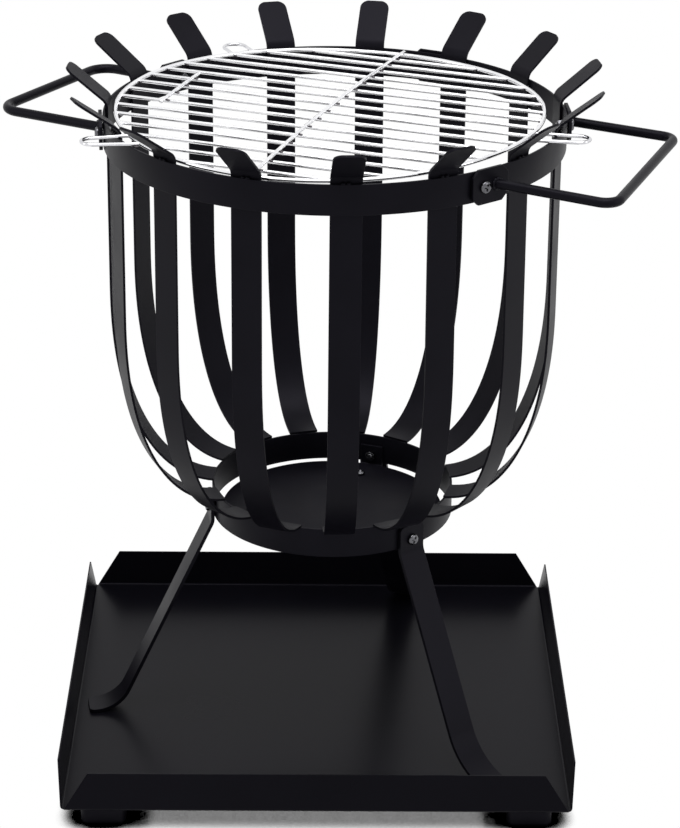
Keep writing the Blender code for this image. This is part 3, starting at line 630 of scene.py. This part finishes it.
bracket_coat = powder_coat("bracket_coat")
bracket_outside = math.sqrt((base_inner - SEAT_GAP) ** 2 - (BRACKET_WIDTH / 2) ** 2)
bracket_radius = bracket_outside - BRACKET_THICKNESS / 2
bracket_top = leg_bolt_z + BRACKET_ABOVE_BOLT
shelf_middle = low.z - SEAT_GAP - BRACKET_THICKNESS / 2
inner_bend = BRACKET_BEND - BRACKET_THICKNESS / 2
bracket_path = walk(
    (bracket_radius, bracket_top), math.radians(-90),
    [
        ("run", bracket_top - shelf_middle - inner_bend), ("bend", inner_bend, math.radians(-90)),
        ("run", BRACKET_SHELF - inner_bend),
    ],
)
for place, azimuth in LEG_AZIMUTHS.items():
    bracket = bent_strip(
        "bracket_" + place, strip_stations(bracket_path, BRACKET_WIDTH / 2),
        BRACKET_THICKNESS, bracket_coat, azimuth,
    )
    seat(bracket, "basket", "plate_bracket_" + place)


# Handles
# Two U-shaped handles of 8 mm round bar. Each end is welded to a chamfered lug of
# 3 mm plate, and the lugs are bolted to the outside of the top hoop.

HANDLE_BOLTS = {"right_front": -53.3, "right_back": 1.6, "left_front": 187.3, "left_back": 134.5}
HANDLE_ROOTS = {"right_front": -49.6, "right_back": 5.0, "left_front": 182.6, "left_back": 138.1}
HANDLE_CORNERS = {"right_front": -42.7, "right_back": -5.9, "left_front": 171.9, "left_back": 141.0}
HANDLE_REACH = {"right_front": 0.0990, "right_back": 0.0875, "left_front": 0.0917, "left_back": 0.0705}
HANDLE_ROD = 0.008
HANDLE_BENDS = {"right": 0.012, "left": 0.017}
LUG_LENGTH = 0.036
LUG_HEIGHTS = {"right_front": 0.0285, "right_back": 0.027, "left_front": 0.027, "left_back": 0.027}
LUG_THICKNESS = 0.003
LUG_CHAMFER = 0.006
HANDLE_WELD = 0.0017
HANDLE_ROUGHNESS = (0.30, 0.40)
HANDLE_SIDES = 28
BEND_POINTS = 14
RING_POINTS = 36
RING_SIDES = 10
RING_RIPPLES = 9
RING_RIPPLE = 0.15
WELD_SMOOTH = 80

handle_coat = powder_coat("handle_coat", roughness=HANDLE_ROUGHNESS)


def filleted(corners, radius):
    """Open path through corner points, with each inner corner rounded."""
    path = [corners[0]]
    for before, corner, after in zip(corners, corners[1:], corners[2:]):
        arriving = (corner - before).normalized()
        leaving = (after - corner).normalized()
        turn = arriving.angle(leaving)
        start = corner - arriving * radius * math.tan(turn / 2)
        centre = corner + (leaving - arriving).normalized() * (radius / math.cos(turn / 2))
        axis = arriving.cross(leaving).normalized()
        for step in range(BEND_POINTS + 1):
            turned_by = Matrix.Rotation(turn * step / BEND_POINTS, 3, axis)
            path.append(centre + turned_by @ (start - centre))
    path.append(corners[-1])
    return path


top_radius = hoop_radius["top_hoop"]
level = Vector((0, 0, hoop_middle))
lug_inner = top_radius + SEAT_GAP
for side_name in ("right", "left"):
    ends = [side_name + "_front", side_name + "_back"]
    roots = []
    corners = []
    weld_rings = bmesh.new()
    for end in ends:
        place = math.radians(HANDLE_BOLTS[end] + HANDLE_ROOTS[end]) / 2
        beside = (top_radius + LUG_THICKNESS / 2) * math.tan(math.radians(HANDLE_ROOTS[end]) - place)
        root = radial(place) * (lug_inner + LUG_THICKNESS / 2) + tangent(place) * beside + level
        reach = top_radius + HANDLE_REACH[end]
        corner = radial(math.radians(HANDLE_CORNERS[end])) * reach + level
        roots.append(root)
        corners.append(corner)
        lug_outline = chamfered(LUG_LENGTH / 2, LUG_HEIGHTS[end] / 2, LUG_CHAMFER)
        lug = standing_plate(
            "lug_" + end, lug_outline, lug_inner, LUG_THICKNESS, hoop_middle, place, handle_coat,
        )
        seat(lug, "basket", "handle_" + side_name)
        along = (corner - root).normalized()
        face = radial(place)
        meets = root + along * (LUG_THICKNESS / 2 / along.dot(face))
        narrow = face.cross(along).normalized() * HANDLE_ROD / 2
        wide = narrow.cross(face) / along.dot(face)
        ring_path = []
        radii = []
        for index in range(RING_POINTS):
            angle = 2 * math.pi * index / RING_POINTS
            ring_path.append(meets + wide * math.cos(angle) + narrow * math.sin(angle))
            radii.append(HANDLE_WELD * (1 - RING_RIPPLE + RING_RIPPLE * math.cos(RING_RIPPLES * angle)))
        swept_rod(weld_rings, ring_path, radii, RING_SIDES, closed=True)
    path = filleted([roots[0], *corners, roots[1]], HANDLE_BENDS[side_name])
    bar = bmesh.new()
    swept_rod(bar, path, [HANDLE_ROD / 2] * len(path), HANDLE_SIDES)
    handle = new_piece("handle_bar_" + side_name, bar, handle_coat, ROUND_SMOOTH)
    seat(handle, "basket", "handle_" + side_name)
    rings = new_piece("handle_welds_" + side_name, weld_rings, handle_coat, WELD_SMOOTH)
    seat(rings, "basket", slot=slot_of["handle_" + side_name])


# Screws and nuts
# M5 pan head screws with a cross recess hold the legs and the handles, each with a
# chamfered hexagon nut inside the hoop. Three M4 ones hold the base plate. All zinc plated.

SCREW_SIZES = {
    "M5": {
        "shank": 0.005, "pitch": 0.0008, "head": 0.0098, "rise": 0.0032, "flats": 0.008, "nut": 0.004,
    },
    "M4": {
        "shank": 0.004, "pitch": 0.0007, "head": 0.0078, "rise": 0.0026, "flats": 0.007, "nut": 0.0032,
    },
}
HEAD_SIDES = 40
HEAD_TOP_WIDTH = 0.45
HEAD_TOP_ROUND = 0.58
HEAD_STEPS = 6
HEAD_RIM = 0.12
HEAD_SEAT = 0.97
THREAD_BEYOND_NUT = 0.0015
THREAD_DEPTH = 0.6134
THREAD_SIDES = 24
THREAD_STEPS = 6
FASTENER_SMOOTH = 35
NUT_FACE = 0.96
NUT_SIDES = 48
BORE_SIDES = 32
NUT_CHAMFER = math.tan(math.radians(30))
RECESS_SPAN = 0.68
RECESS_WIDTH = 0.19
RECESS_DEPTH = 0.62
RECESS_MOUTH = 1.2
RECESS_FLOOR = 0.35
RECESS_ABOVE = 0.001
PLATE_SCREW_INSET = 0.0306
ZINC = (0.17, 0.17, 0.18)
ZINC_DULL = (0.08, 0.08, 0.09)
ZINC_ROUGHNESS = (0.10, 0.24)
ZINC_PATCHES = (0.002, 5.0, 0.65)
ZINC_MARKS = (0.0004, 3.0, 0.000006)


def plated_steel(name):
    """Bright zinc with faint dull patches and fine handling marks."""
    return mottled_finish(
        name, (ZINC, ZINC_DULL), ZINC_ROUGHNESS, ZINC_PATCHES, ZINC_MARKS, Metallic=1.0,
    )


screw_zinc = plated_steel("screw_zinc_bright")
nut_zinc = plated_steel("nut_zinc_bright")


def turned(profile, sides):
    """A bmesh turned about Z from (radius, height) points that start and end on the axis."""
    solid = bmesh.new()
    rings = []
    for radius, height in profile:
        angles = [2 * math.pi * index / sides for index in range(sides if radius else 1)]
        spots = [(radius * math.cos(angle), radius * math.sin(angle), height) for angle in angles]
        rings.append([solid.verts.new(spot) for spot in spots])
    for ring, following in zip(rings, rings[1:]):
        for index in range(sides):
            nearby = (index + 1) % sides
            corners = [ring[index % len(ring)], ring[nearby % len(ring)]]
            corners += [following[nearby % len(following)], following[index % len(following)]]
            solid.faces.new(list(dict.fromkeys(corners)))
    return solid


def carved(piece, tools, operation):
    """Applies Booleans with each tool in turn, then removes the tools."""
    for tool in tools:
        modifier = piece.modifiers.new("Carve", "BOOLEAN")
        modifier.operation = operation
        modifier.solver = "EXACT"
        modifier.object = tool
    graph = bpy.context.evaluated_depsgraph_get()
    mesh = bpy.data.meshes.new_from_object(piece.evaluated_get(graph))
    piece.modifiers.clear()
    piece.data = mesh
    for tool in tools:
        bpy.data.objects.remove(tool)
    mesh.shade_smooth()
    mesh.set_sharp_from_angle(angle=math.radians(FASTENER_SMOOTH))
    return mesh


def recess_wing(size, turn):
    """One tapered wing of the driver's cross, to be cut into the head."""
    wing = bmesh.new()
    half_wide = size["head"] * RECESS_WIDTH / 2
    half_long = size["head"] * RECESS_SPAN / 2
    top, bottom = -size["rise"] - RECESS_ABOVE, -size["rise"] * (1 - RECESS_DEPTH)
    corners = []
    for z, reach in ((top, half_long * RECESS_MOUTH), (bottom, half_long * RECESS_FLOOR)):
        for x, y in ((-1, -1), (1, -1), (1, 1), (-1, 1)):
            corners.append(wing.verts.new((x * reach, y * half_wide, z)))
    bmesh.ops.convex_hull(wing, input=corners)
    bmesh.ops.rotate(wing, verts=wing.verts, matrix=Matrix.Rotation(turn, 3, "Z"))
    return new_piece("recess_wing", wing, screw_zinc)


def screw_mesh(size, plain):
    """Pan head below zero with its cross recess, and a shank up +Z, threaded past its plain part."""
    length = plain + size["nut"] + THREAD_BEYOND_NUT
    head, rise, shank = size["head"], size["rise"], size["shank"]
    dome = [(0, -rise)]
    for step in range(1, HEAD_STEPS + 1):
        angle = math.radians(90) * step / HEAD_STEPS
        wide = HEAD_TOP_WIDTH + (1 - HEAD_TOP_WIDTH) * math.sin(angle)
        high = 1 - HEAD_TOP_ROUND + HEAD_TOP_ROUND * math.cos(angle)
        dome.append((head / 2 * wide, -rise * high))
    dome += [(head / 2, -rise * HEAD_RIM), (head / 2 * HEAD_SEAT, 0)]
    dome += [(shank / 2, 0), (shank / 2, plain), (0, plain)]
    piece = new_piece("screw_blank", turned(dome, HEAD_SIDES), screw_zinc)
    mesh = carved(piece, [recess_wing(size, turn) for turn in (0.0, math.radians(90))], "DIFFERENCE")
    bpy.data.objects.remove(piece)
    whole = bmesh.new()
    whole.from_mesh(mesh)
    rows = round((length - plain) / size["pitch"] * THREAD_STEPS)
    cut_depth = THREAD_DEPTH * size["pitch"]
    rings = []
    for row in range(rows + 1):
        z = plain + (length - plain) * row / rows
        ring = []
        for index in range(THREAD_SIDES):
            phase = (z / size["pitch"] - index / THREAD_SIDES) % 1.0
            depth = cut_depth * abs(2 * phase - 1) if 0 < row < rows else cut_depth
            way = radial(2 * math.pi * index / THREAD_SIDES) * (shank / 2 - depth)
            ring.append(whole.verts.new((way.x, way.y, z)))
        rings.append(ring)
    for ring, following in zip(rings, rings[1:]):
        for index in range(THREAD_SIDES):
            nearby = (index + 1) % THREAD_SIDES
            whole.faces.new((ring[index], ring[nearby], following[nearby], following[index]))
    whole.faces.new(rings[0])
    whole.faces.new(rings[-1])
    return whole


def nut_mesh(size):
    """Hexagon with its corners chamfered on both faces, and a bore for the screw."""
    flats, height = size["flats"], size["nut"]
    corner = flats / 2 / math.cos(math.radians(30))
    prism = bmesh.new()
    bmesh.ops.create_cone(
        prism, cap_ends=True, segments=6, radius1=corner, radius2=corner, depth=height,
        matrix=Matrix.Translation((0, 0, height / 2)),
    )
    face = flats / 2 * NUT_FACE
    cut = (corner - face) * NUT_CHAMFER
    blank = [(0, 0), (face, 0), (corner, cut), (corner, height - cut), (face, height), (0, height)]
    cone = new_piece("nut_cone", turned(blank, NUT_SIDES), nut_zinc)
    piece = new_piece("nut_blank", prism, nut_zinc)
    carved(piece, [cone], "INTERSECT")
    bore = bmesh.new()
    bmesh.ops.create_cone(
        bore, cap_ends=True, segments=BORE_SIDES, radius1=size["shank"] / 2 + SEAT_GAP,
        radius2=size["shank"] / 2 + SEAT_GAP, depth=height * 3,
    )
    carved(piece, [new_piece("nut_bore", bore, nut_zinc)], "DIFFERENCE")
    whole = bmesh.new()
    whole.from_mesh(piece.data)
    bpy.data.objects.remove(piece)
    return whole


def place_fastener(kind, place, thread, head_spot, nut_spot, turn):
    """One screw and its nut. The screw goes in from its head's seat towards the nut."""
    way = (nut_spot - head_spot).normalized()
    face = way.to_track_quat("Z", "Y").to_matrix().to_4x4()
    size = SCREW_SIZES[thread]
    plain = (nut_spot - head_spot).length
    screw = new_piece(f"{kind}_bolt_{place}", screw_mesh(size, plain), screw_zinc, FASTENER_SMOOTH)
    spin = Matrix.Rotation(math.radians(turn), 4, "Z")
    screw.matrix_basis = Matrix.Translation(head_spot) @ face @ spin
    nut = new_piece(f"{kind}_hexagon_{place}", nut_mesh(size), nut_zinc, FASTENER_SMOOTH)
    nut.matrix_basis = Matrix.Translation(nut_spot) @ face @ spin
    seat(screw, "basket", f"{kind}_screw_{place}")
    seat(nut, "basket", f"{kind}_nut_{place}")


leg_head_radius = leg_radius + LEG_THICKNESS / 2 + SEAT_GAP
leg_nut_radius = bracket_radius - BRACKET_THICKNESS / 2 - SEAT_GAP
plate_head = Vector((0, 0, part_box("base_plate")[1].z + SEAT_GAP))
plate_nut = Vector((0, 0, shelf_middle - BRACKET_THICKNESS / 2 - SEAT_GAP))
leg_turns = {"front_right": 24, "back": 61, "left": 8}
PLATE_TURN = 30
for place, azimuth in LEG_AZIMUTHS.items():
    height = Vector((0, 0, leg_bolt_z))
    outside = radial(azimuth) * leg_head_radius + height
    inside = radial(azimuth) * leg_nut_radius + height
    place_fastener("leg", place, "M5", outside, inside, leg_turns[place])
    spot = radial(azimuth) * (base_inner - PLATE_SCREW_INSET)
    above, below = spot + plate_head, spot + plate_nut
    place_fastener("plate", place, "M4", above, below, leg_turns[place] + PLATE_TURN)

handle_head_radius = top_radius + LUG_THICKNESS + 2 * SEAT_GAP
nut_half = SCREW_SIZES["M5"]["flats"] / 2
handle_nut_radius = math.sqrt((top_inner - SEAT_GAP) ** 2 - nut_half ** 2) - SEAT_GAP
handle_turns = {"right_front": 12, "right_back": 40, "left_front": 33, "left_back": 5}
for place, azimuth in HANDLE_BOLTS.items():
    way = radial(math.radians(azimuth))
    place_fastener(
        "handle", place, "M5", way * handle_head_radius + level, way * handle_nut_radius + level,
        handle_turns[place],
    )


# Grate rim and bars
# Chromed steel wire: a rim of 3.5 mm wire and sixteen bars of 3 mm, their ends welded to
# the inside of the rim. It is bowed up a little across its bars and higher behind.

GRATE_MIDDLE = Vector((-0.0041, -0.0014, 0.5512))
GRATE_TILT = 0.0059
GRATE_ARCH = 0.0045
RIM_RADIUS = 0.17415
RIM_WIRE = 0.0035
BAR_WIRE = 0.003
BAR_COUNT = 16
BAR_DIRECTION = math.radians(-20.65)
BAR_PITCH = 0.0211
BAR_SHIFT = -0.0020
RIM_POINTS = 240
BAR_WANDER = 0.00035
WELD_SINK = 0.0005
BAR_BELOW_RIM = 0.0004
BAR_END_ROUND = 0.0009
BAR_FIRST_END = ((0.35, 0.62), (1.0, 0.25), (0.0, 0.0))
BAR_LAST_END = ((1.0, 0.0), (0.35, 0.25), (0.0, 0.62))
BAR_STEPS = 14
RIM_SIDES = 20
WANDER_STEP = 2.4
WANDER_START = 0.7
WIRE_TONES = ((0.95, 0.95, 0.96), (0.84, 0.84, 0.87))
WIRE_ROUGHNESS = (0.05, 0.11)
WIRE_PATCH = 0.009
CHROME_DETAIL = 5.0
CHROME_GRAIN = 0.6
MARK_DETAIL = 3.0
MARK_DEPTH = 0.000002
MARK_SHARE = 12


def chrome_plate(name, tones, roughness, patch_size):
    """Chrome in the given tones, a little uneven in gloss, with fine marks from handling."""
    return mottled_finish(
        name, tones, roughness, (patch_size, CHROME_DETAIL, CHROME_GRAIN),
        (patch_size / MARK_SHARE, MARK_DETAIL, MARK_DEPTH), Metallic=1.0,
    )


wire_chrome = chrome_plate("wire_chrome", WIRE_TONES, WIRE_ROUGHNESS, WIRE_PATCH)

bar_along = radial(BAR_DIRECTION)
bar_aside = tangent(BAR_DIRECTION)


def on_grate(along, aside, above=0.0):
    """A spot on the shallow arch of the grate, given along and across its bars."""
    spot = GRATE_MIDDLE + bar_along * along + bar_aside * aside
    spot.z += GRATE_TILT * (spot.y - GRATE_MIDDLE.y) + above
    spot.z += GRATE_ARCH * (1 - (aside / RIM_RADIUS) ** 2)
    return spot


rim = bmesh.new()
rim_path = []
for index in range(RIM_POINTS):
    angle = 2 * math.pi * index / RIM_POINTS
    rim_path.append(on_grate(RIM_RADIUS * math.cos(angle), RIM_RADIUS * math.sin(angle)))
swept_rod(rim, rim_path, [RIM_WIRE / 2] * RIM_POINTS, RIM_SIDES, closed=True)
seat(new_piece("rim_wire", rim, wire_chrome, ROUND_SMOOTH), "grate", "grate_rim")


def bar_end(tip, inner, profile):
    """(spot, radius) pairs of a bar's end, each set in and narrowed by its shares in profile.

    A bar's first end is turned in on itself and its last is rounded. Both are sunk in the rim.
    """
    inwards = (inner - tip).normalized()
    return [
        (tip + inwards * BAR_END_ROUND * back, BAR_WIRE / 2 - BAR_END_ROUND * narrow)
        for back, narrow in profile
    ]


rim_inside = RIM_RADIUS - RIM_WIRE / 2 + WELD_SINK
bar_places = []
for index in range(BAR_COUNT):
    across = (index - (BAR_COUNT - 1) / 2) * BAR_PITCH + BAR_SHIFT
    bar_places.append(across)
    half = math.sqrt(rim_inside ** 2 - across ** 2)
    bow = BAR_WANDER * math.sin(WANDER_STEP * index + WANDER_START)
    path = []
    for step in range(-BAR_STEPS, BAR_STEPS + 1):
        share = math.sin(math.pi / 2 * step / BAR_STEPS)
        path.append(on_grate(half * share, across + bow * (1 - share * share), -BAR_BELOW_RIM))
    stations = [
        *bar_end(path[0], path[1], BAR_FIRST_END), *[(spot, BAR_WIRE / 2) for spot in path[1:-1]],
        *bar_end(path[-1], path[-2], BAR_LAST_END),
    ]
    bar = bmesh.new()
    swept_rod(bar, *zip(*stations))
    bar_piece = new_piece(f"grate_bar_{index + 1:02d}", bar, wire_chrome, ROUND_SMOOTH)
    seat(bar_piece, "grate", "grate_bars")


# Cross wires
# One long wire over all the bars and a short one over some of them at the left, both
# spot-welded. Each crossing has a small pad of squeezed metal beside it, and each bar end one
# under the rim. The pads are coloured dark, as painted shade at these places.

WIRE_ABOVE_BARS = 0.0024
LONG_WIRE_BACK = (0.0021, 0.1765)
LONG_WIRE_FRONT = (0.0021, -0.1741)
SHORT_WIRE_BACK = (-0.1321, 0.0395)
SHORT_WIRE_FRONT = (-0.1301, -0.0448)
COLLAR = (0.0019, 0.0012, 0.0008)
COLLAR_ASIDE = 0.0020
COLLAR_TURN = 0.5
COLLAR_STEP = 3.1
BAR_END_PAD_SIZE = (0.0017, 0.0021, 0.0013)
BAR_END_PAD_INSET = 0.0012
BAR_END_PAD_BELOW = 0.0011
CROSS_WIRE_ROUND = 0.0004
CROSS_WIRE_STEPS = 24
# The pads' dark tone is partly the weld metal's own and partly painted shade at the crossings and under
# the rim.
WELD_AND_SHADE_TONES = ((0.13, 0.12, 0.13), (0.045, 0.04, 0.045))
WELD_ROUGHNESS = (0.30, 0.45)
WELD_PATCH = 0.0016

weld_and_shade_chrome = chrome_plate("weld_and_shade_chrome", WELD_AND_SHADE_TONES, WELD_ROUGHNESS, WELD_PATCH)


def cross_wire(name, start, end):
    """A wire laid over the bars, between two (along, aside) places on the grate."""
    wire = bmesh.new()
    near_end = CROSS_WIRE_ROUND / math.dist(start, end)
    inner = [step / CROSS_WIRE_STEPS for step in range(1, CROSS_WIRE_STEPS)]
    shares = [0, near_end, *inner, 1 - near_end, 1]
    path = []
    for share in shares:
        along, aside = Vector(start).lerp(Vector(end), share)
        path.append(on_grate(along, aside, WIRE_ABOVE_BARS))
    full = BAR_WIRE / 2
    narrowed = full - CROSS_WIRE_ROUND
    radii = [narrowed, *[full] * (len(path) - 2), narrowed]
    swept_rod(wire, path, radii)
    seat(new_piece(name, wire, wire_chrome, ROUND_SMOOTH), "grate", "grate_bars")


def weld_collar(collars, spot, turn, size=COLLAR):
    """Adds a small pad of squeezed metal between two wires."""
    pad = Matrix.Translation(spot) @ Matrix.Rotation(turn, 4, "Z") @ Matrix.Diagonal((*size, 1.0))
    bmesh.ops.create_icosphere(collars, subdivisions=3, radius=1.0, matrix=pad)


collars = bmesh.new()
# Pads under the rim at each bar end, dark as painted shade where the bar meets the rim.
for across in bar_places:
    reach = math.sqrt(rim_inside ** 2 - across ** 2)
    for side in (-1, 1):
        spot = on_grate(side * (reach - BAR_END_PAD_INSET), across, -BAR_END_PAD_BELOW)
        weld_collar(collars, spot, BAR_DIRECTION, size=BAR_END_PAD_SIZE)
for name, back, front in (
    ("long_cross_wire", LONG_WIRE_BACK, LONG_WIRE_FRONT),
    ("short_cross_wire", SHORT_WIRE_BACK, SHORT_WIRE_FRONT),
):
    cross_wire(name, back, front)
    # A pad beside each crossing, dark as painted shade on that side of the wire.
    for index, across in enumerate(bar_places):
        share = (across - back[1]) / (front[1] - back[1])
        if 0 < share < 1:
            along = back[0] + (front[0] - back[0]) * share + COLLAR_ASIDE
            above = WIRE_ABOVE_BARS / 2 - BAR_BELOW_RIM
            spot = on_grate(along, across - COLLAR_ASIDE / 2, above)
            weld_collar(collars, spot, BAR_DIRECTION + COLLAR_TURN * math.sin(COLLAR_STEP * index))


# Rest loops
# Three hairpins of the same wire, welded to the top of the rim. They reach over the
# edge of the hoop and carry the grate. Their chrome is a darker copy of the bars' chrome,
# with a dark reflection painted into it.

REST_TIPS = {"left": (-0.1995, -0.0925), "right": (0.2011, -0.0793), "back": (-0.0900, 0.1845)}
REST_ROOTS = {"left": math.radians(209.2), "right": math.radians(-24.0), "back": math.radians(115.0)}
REST_ROOT_WIDTHS = {"left": 0.023, "right": 0.018, "back": 0.019}
REST_TIP_WIDTHS = {"left": 0.017, "right": 0.017, "back": 0.019}
REST_SEAT = top_high.z + SEAT_GAP + BAR_WIRE / 2
REST_PAD = (0.0024, 0.0022, 0.0009)
# Darker copy of the wire chrome: a painted dark reflection on the loops.
LOOP_SHADED_TONES = ((0.80, 0.80, 0.82), (0.60, 0.60, 0.63))
LOOP_ROUGHNESS = (0.06, 0.12)

loop_shaded_chrome = chrome_plate("loop_shaded_chrome", LOOP_SHADED_TONES, LOOP_ROUGHNESS, WIRE_PATCH)

for side_name, azimuth in REST_ROOTS.items():
    start = radial(azimuth) * (RIM_RADIUS - WELD_SINK)
    start += Vector((GRATE_MIDDLE.x, GRATE_MIDDLE.y, REST_SEAT))
    tip = Vector((*REST_TIPS[side_name], REST_SEAT))
    outwards = (tip - start).normalized()
    aside = Vector((-outwards.y, outwards.x, 0))
    bend = REST_TIP_WIDTHS[side_name] / 2
    roots = [side * REST_ROOT_WIDTHS[side_name] / 2 for side in (-1, 1)]
    straight = (tip - start).length - bend
    hairpin = walk((straight, -bend), 0, [("bend", bend, math.radians(180))])
    flat = [Vector((0, roots[0])), *hairpin, Vector((0, roots[1]))]
    path = [start + outwards * point.x + aside * point.y for point in flat]
    loop = bmesh.new()
    swept_rod(loop, path, [BAR_WIRE / 2] * len(path))
    loop_piece = new_piece("rest_loop_" + side_name, loop, loop_shaded_chrome, ROUND_SMOOTH)
    seat(loop_piece, "grate", "grate_rest_" + side_name)
    for end in (path[0], path[-1]):
        on_rim = end + outwards * RIM_WIRE / 2
        on_rim.z -= BAR_WIRE / 2
        weld_collar(collars, on_rim, azimuth, size=REST_PAD)
# All the weld pads, also those at the loops' feet, take the dark tone with its painted shade.
wire_welds = new_piece("wire_welds", collars, weld_and_shade_chrome, WELD_SMOOTH)
seat(wire_welds, "grate", slot=slot_of["grate_bars"])


# Floor and light
# A round white floor and white surroundings for a product picture, one large soft light
# above and a narrower one at each side. Where it is seen, the floor glows white, darkened
# by a painted shadow from ambient occlusion under and around the object.

FLOOR_RADIUS = 6.0
FLOOR_Z = -0.0002
FLOOR_SIDES = 96
FLOOR_TONE = 0.8
PAINTED_SHADE_REACH = 0.026
PAINTED_SHADE_DARKEST = 0.50
PAINTED_SHADE_LIGHTEST = 0.72
FILL_LIGHT = 0.30


def seen_as_background(tree):
    """1 where a camera ray, a reflection or a refraction meets the surface, and 0 for light."""
    path = add_node(tree, "LightPath")
    seen = path.outputs["Is Camera Ray"]
    for ray in ("Is Glossy Ray", "Is Transmission Ray"):
        either = add_node(tree, "Math", {"operation": "MAXIMUM"})
        tree.links.new(seen, either.inputs[0])
        tree.links.new(path.outputs[ray], either.inputs[1])
        seen = either.outputs[0]
    return seen


floor_disc = bmesh.new()
bmesh.ops.create_circle(floor_disc, cap_ends=True, segments=FLOOR_SIDES, radius=FLOOR_RADIUS)
floor_paper = bpy.data.materials.new("floor_paper")
floor_paper.use_nodes = True
tree = floor_paper.node_tree
tree.nodes.remove(tree.nodes["Principled BSDF"])
paper = add_node(tree, "BsdfDiffuse", Color=(*[FLOOR_TONE] * 3, 1.0))
# Painted shadow: ambient occlusion darkens the floor's glow under and around the object.
painted_contact_shade = add_node(tree, "AmbientOcclusion", Distance=PAINTED_SHADE_REACH)
painted_shade_level = add_node(tree, "MapRange", {"clamp": True}, Value=painted_contact_shade.outputs["AO"])
painted_shade_level.inputs["From Min"].default_value = PAINTED_SHADE_DARKEST
painted_shade_level.inputs["From Max"].default_value = PAINTED_SHADE_LIGHTEST
glow = add_node(tree, "Emission", Color=(1.0, 1.0, 1.0, 1.0), Strength=painted_shade_level.outputs["Result"])
blend = add_node(tree, "MixShader")
tree.links.new(seen_as_background(tree), blend.inputs[0])
tree.links.new(paper.outputs[0], blend.inputs[1])
tree.links.new(glow.outputs[0], blend.inputs[2])
tree.links.new(blend.outputs[0], tree.nodes["Material Output"].inputs["Surface"])
floor_object = new_piece("floor", floor_disc, floor_paper)
floor_object.location.z = FLOOR_Z

world = bpy.data.worlds.new("studio")
bpy.context.scene.world = world
world.use_nodes = True
tree = world.node_tree
backdrop = tree.nodes["Background"]
backdrop.inputs["Color"].default_value = (1.0, 1.0, 1.0, 1.0)
level_of = add_node(tree, "MapRange")
tree.links.new(seen_as_background(tree), level_of.inputs["Value"])
level_of.inputs["To Min"].default_value = FILL_LIGHT
level_of.inputs["To Max"].default_value = 1.0
tree.links.new(level_of.outputs["Result"], backdrop.inputs["Strength"])


def soft_light(name, spot, aim, width, height, watts):
    data = bpy.data.lights.new(name, "AREA")
    data.shape = "RECTANGLE"
    data.size = width
    data.size_y = height
    data.energy = watts
    light = bpy.data.objects.new(name, data)
    light.location = spot
    light.rotation_euler = (Vector(aim) - Vector(spot)).to_track_quat("-Z", "Y").to_euler()
    bpy.context.scene.collection.objects.link(light)


soft_light("overhead", (0.0, -0.5, 2.6), aim=(0.0, 0.0, 0.30), width=2.0, height=1.6, watts=40)
soft_light("left_strip", (-2.2, -0.6, 1.1), aim=(0.0, 0.0, 0.35), width=0.7, height=1.8, watts=5)
soft_light("right_strip", (2.2, -0.9, 1.2), aim=(0.0, 0.0, 0.35), width=0.7, height=1.6, watts=6)


# Camera
# Long lens from the front, about 23 degrees down and very slightly rolled. It was fitted to
# the corners of the tray and to both hoops in the photo.

CAMERA_SPOT = Vector((-0.0121, -2.3766, 1.2911))
CAMERA_PITCH = 0.40086
CAMERA_YAW = 0.00772
CAMERA_ROLL = 0.00905
FOCAL_PIXELS = 3044.17
PHOTO_HEIGHT = 828
SENSOR = 36.0

forward = Vector((
    math.sin(CAMERA_YAW) * math.cos(CAMERA_PITCH), math.cos(CAMERA_YAW) * math.cos(CAMERA_PITCH),
    -math.sin(CAMERA_PITCH),
))
level_right = Vector((math.cos(CAMERA_YAW), -math.sin(CAMERA_YAW), 0))
level_up = level_right.cross(forward)
right = math.cos(CAMERA_ROLL) * level_right + math.sin(CAMERA_ROLL) * level_up
up = math.cos(CAMERA_ROLL) * level_up - math.sin(CAMERA_ROLL) * level_right
lens = bpy.data.cameras.new("camera")
lens.sensor_width = SENSOR
lens.lens = FOCAL_PIXELS * SENSOR / PHOTO_HEIGHT
camera = bpy.data.objects.new("camera", lens)
turn = Matrix((right, up, -forward)).transposed().to_4x4()
camera.matrix_basis = Matrix.Translation(CAMERA_SPOT) @ turn
bpy.context.scene.collection.objects.link(camera)
bpy.context.scene.camera = camera
bpy.context.scene.view_settings.view_transform = "Standard"
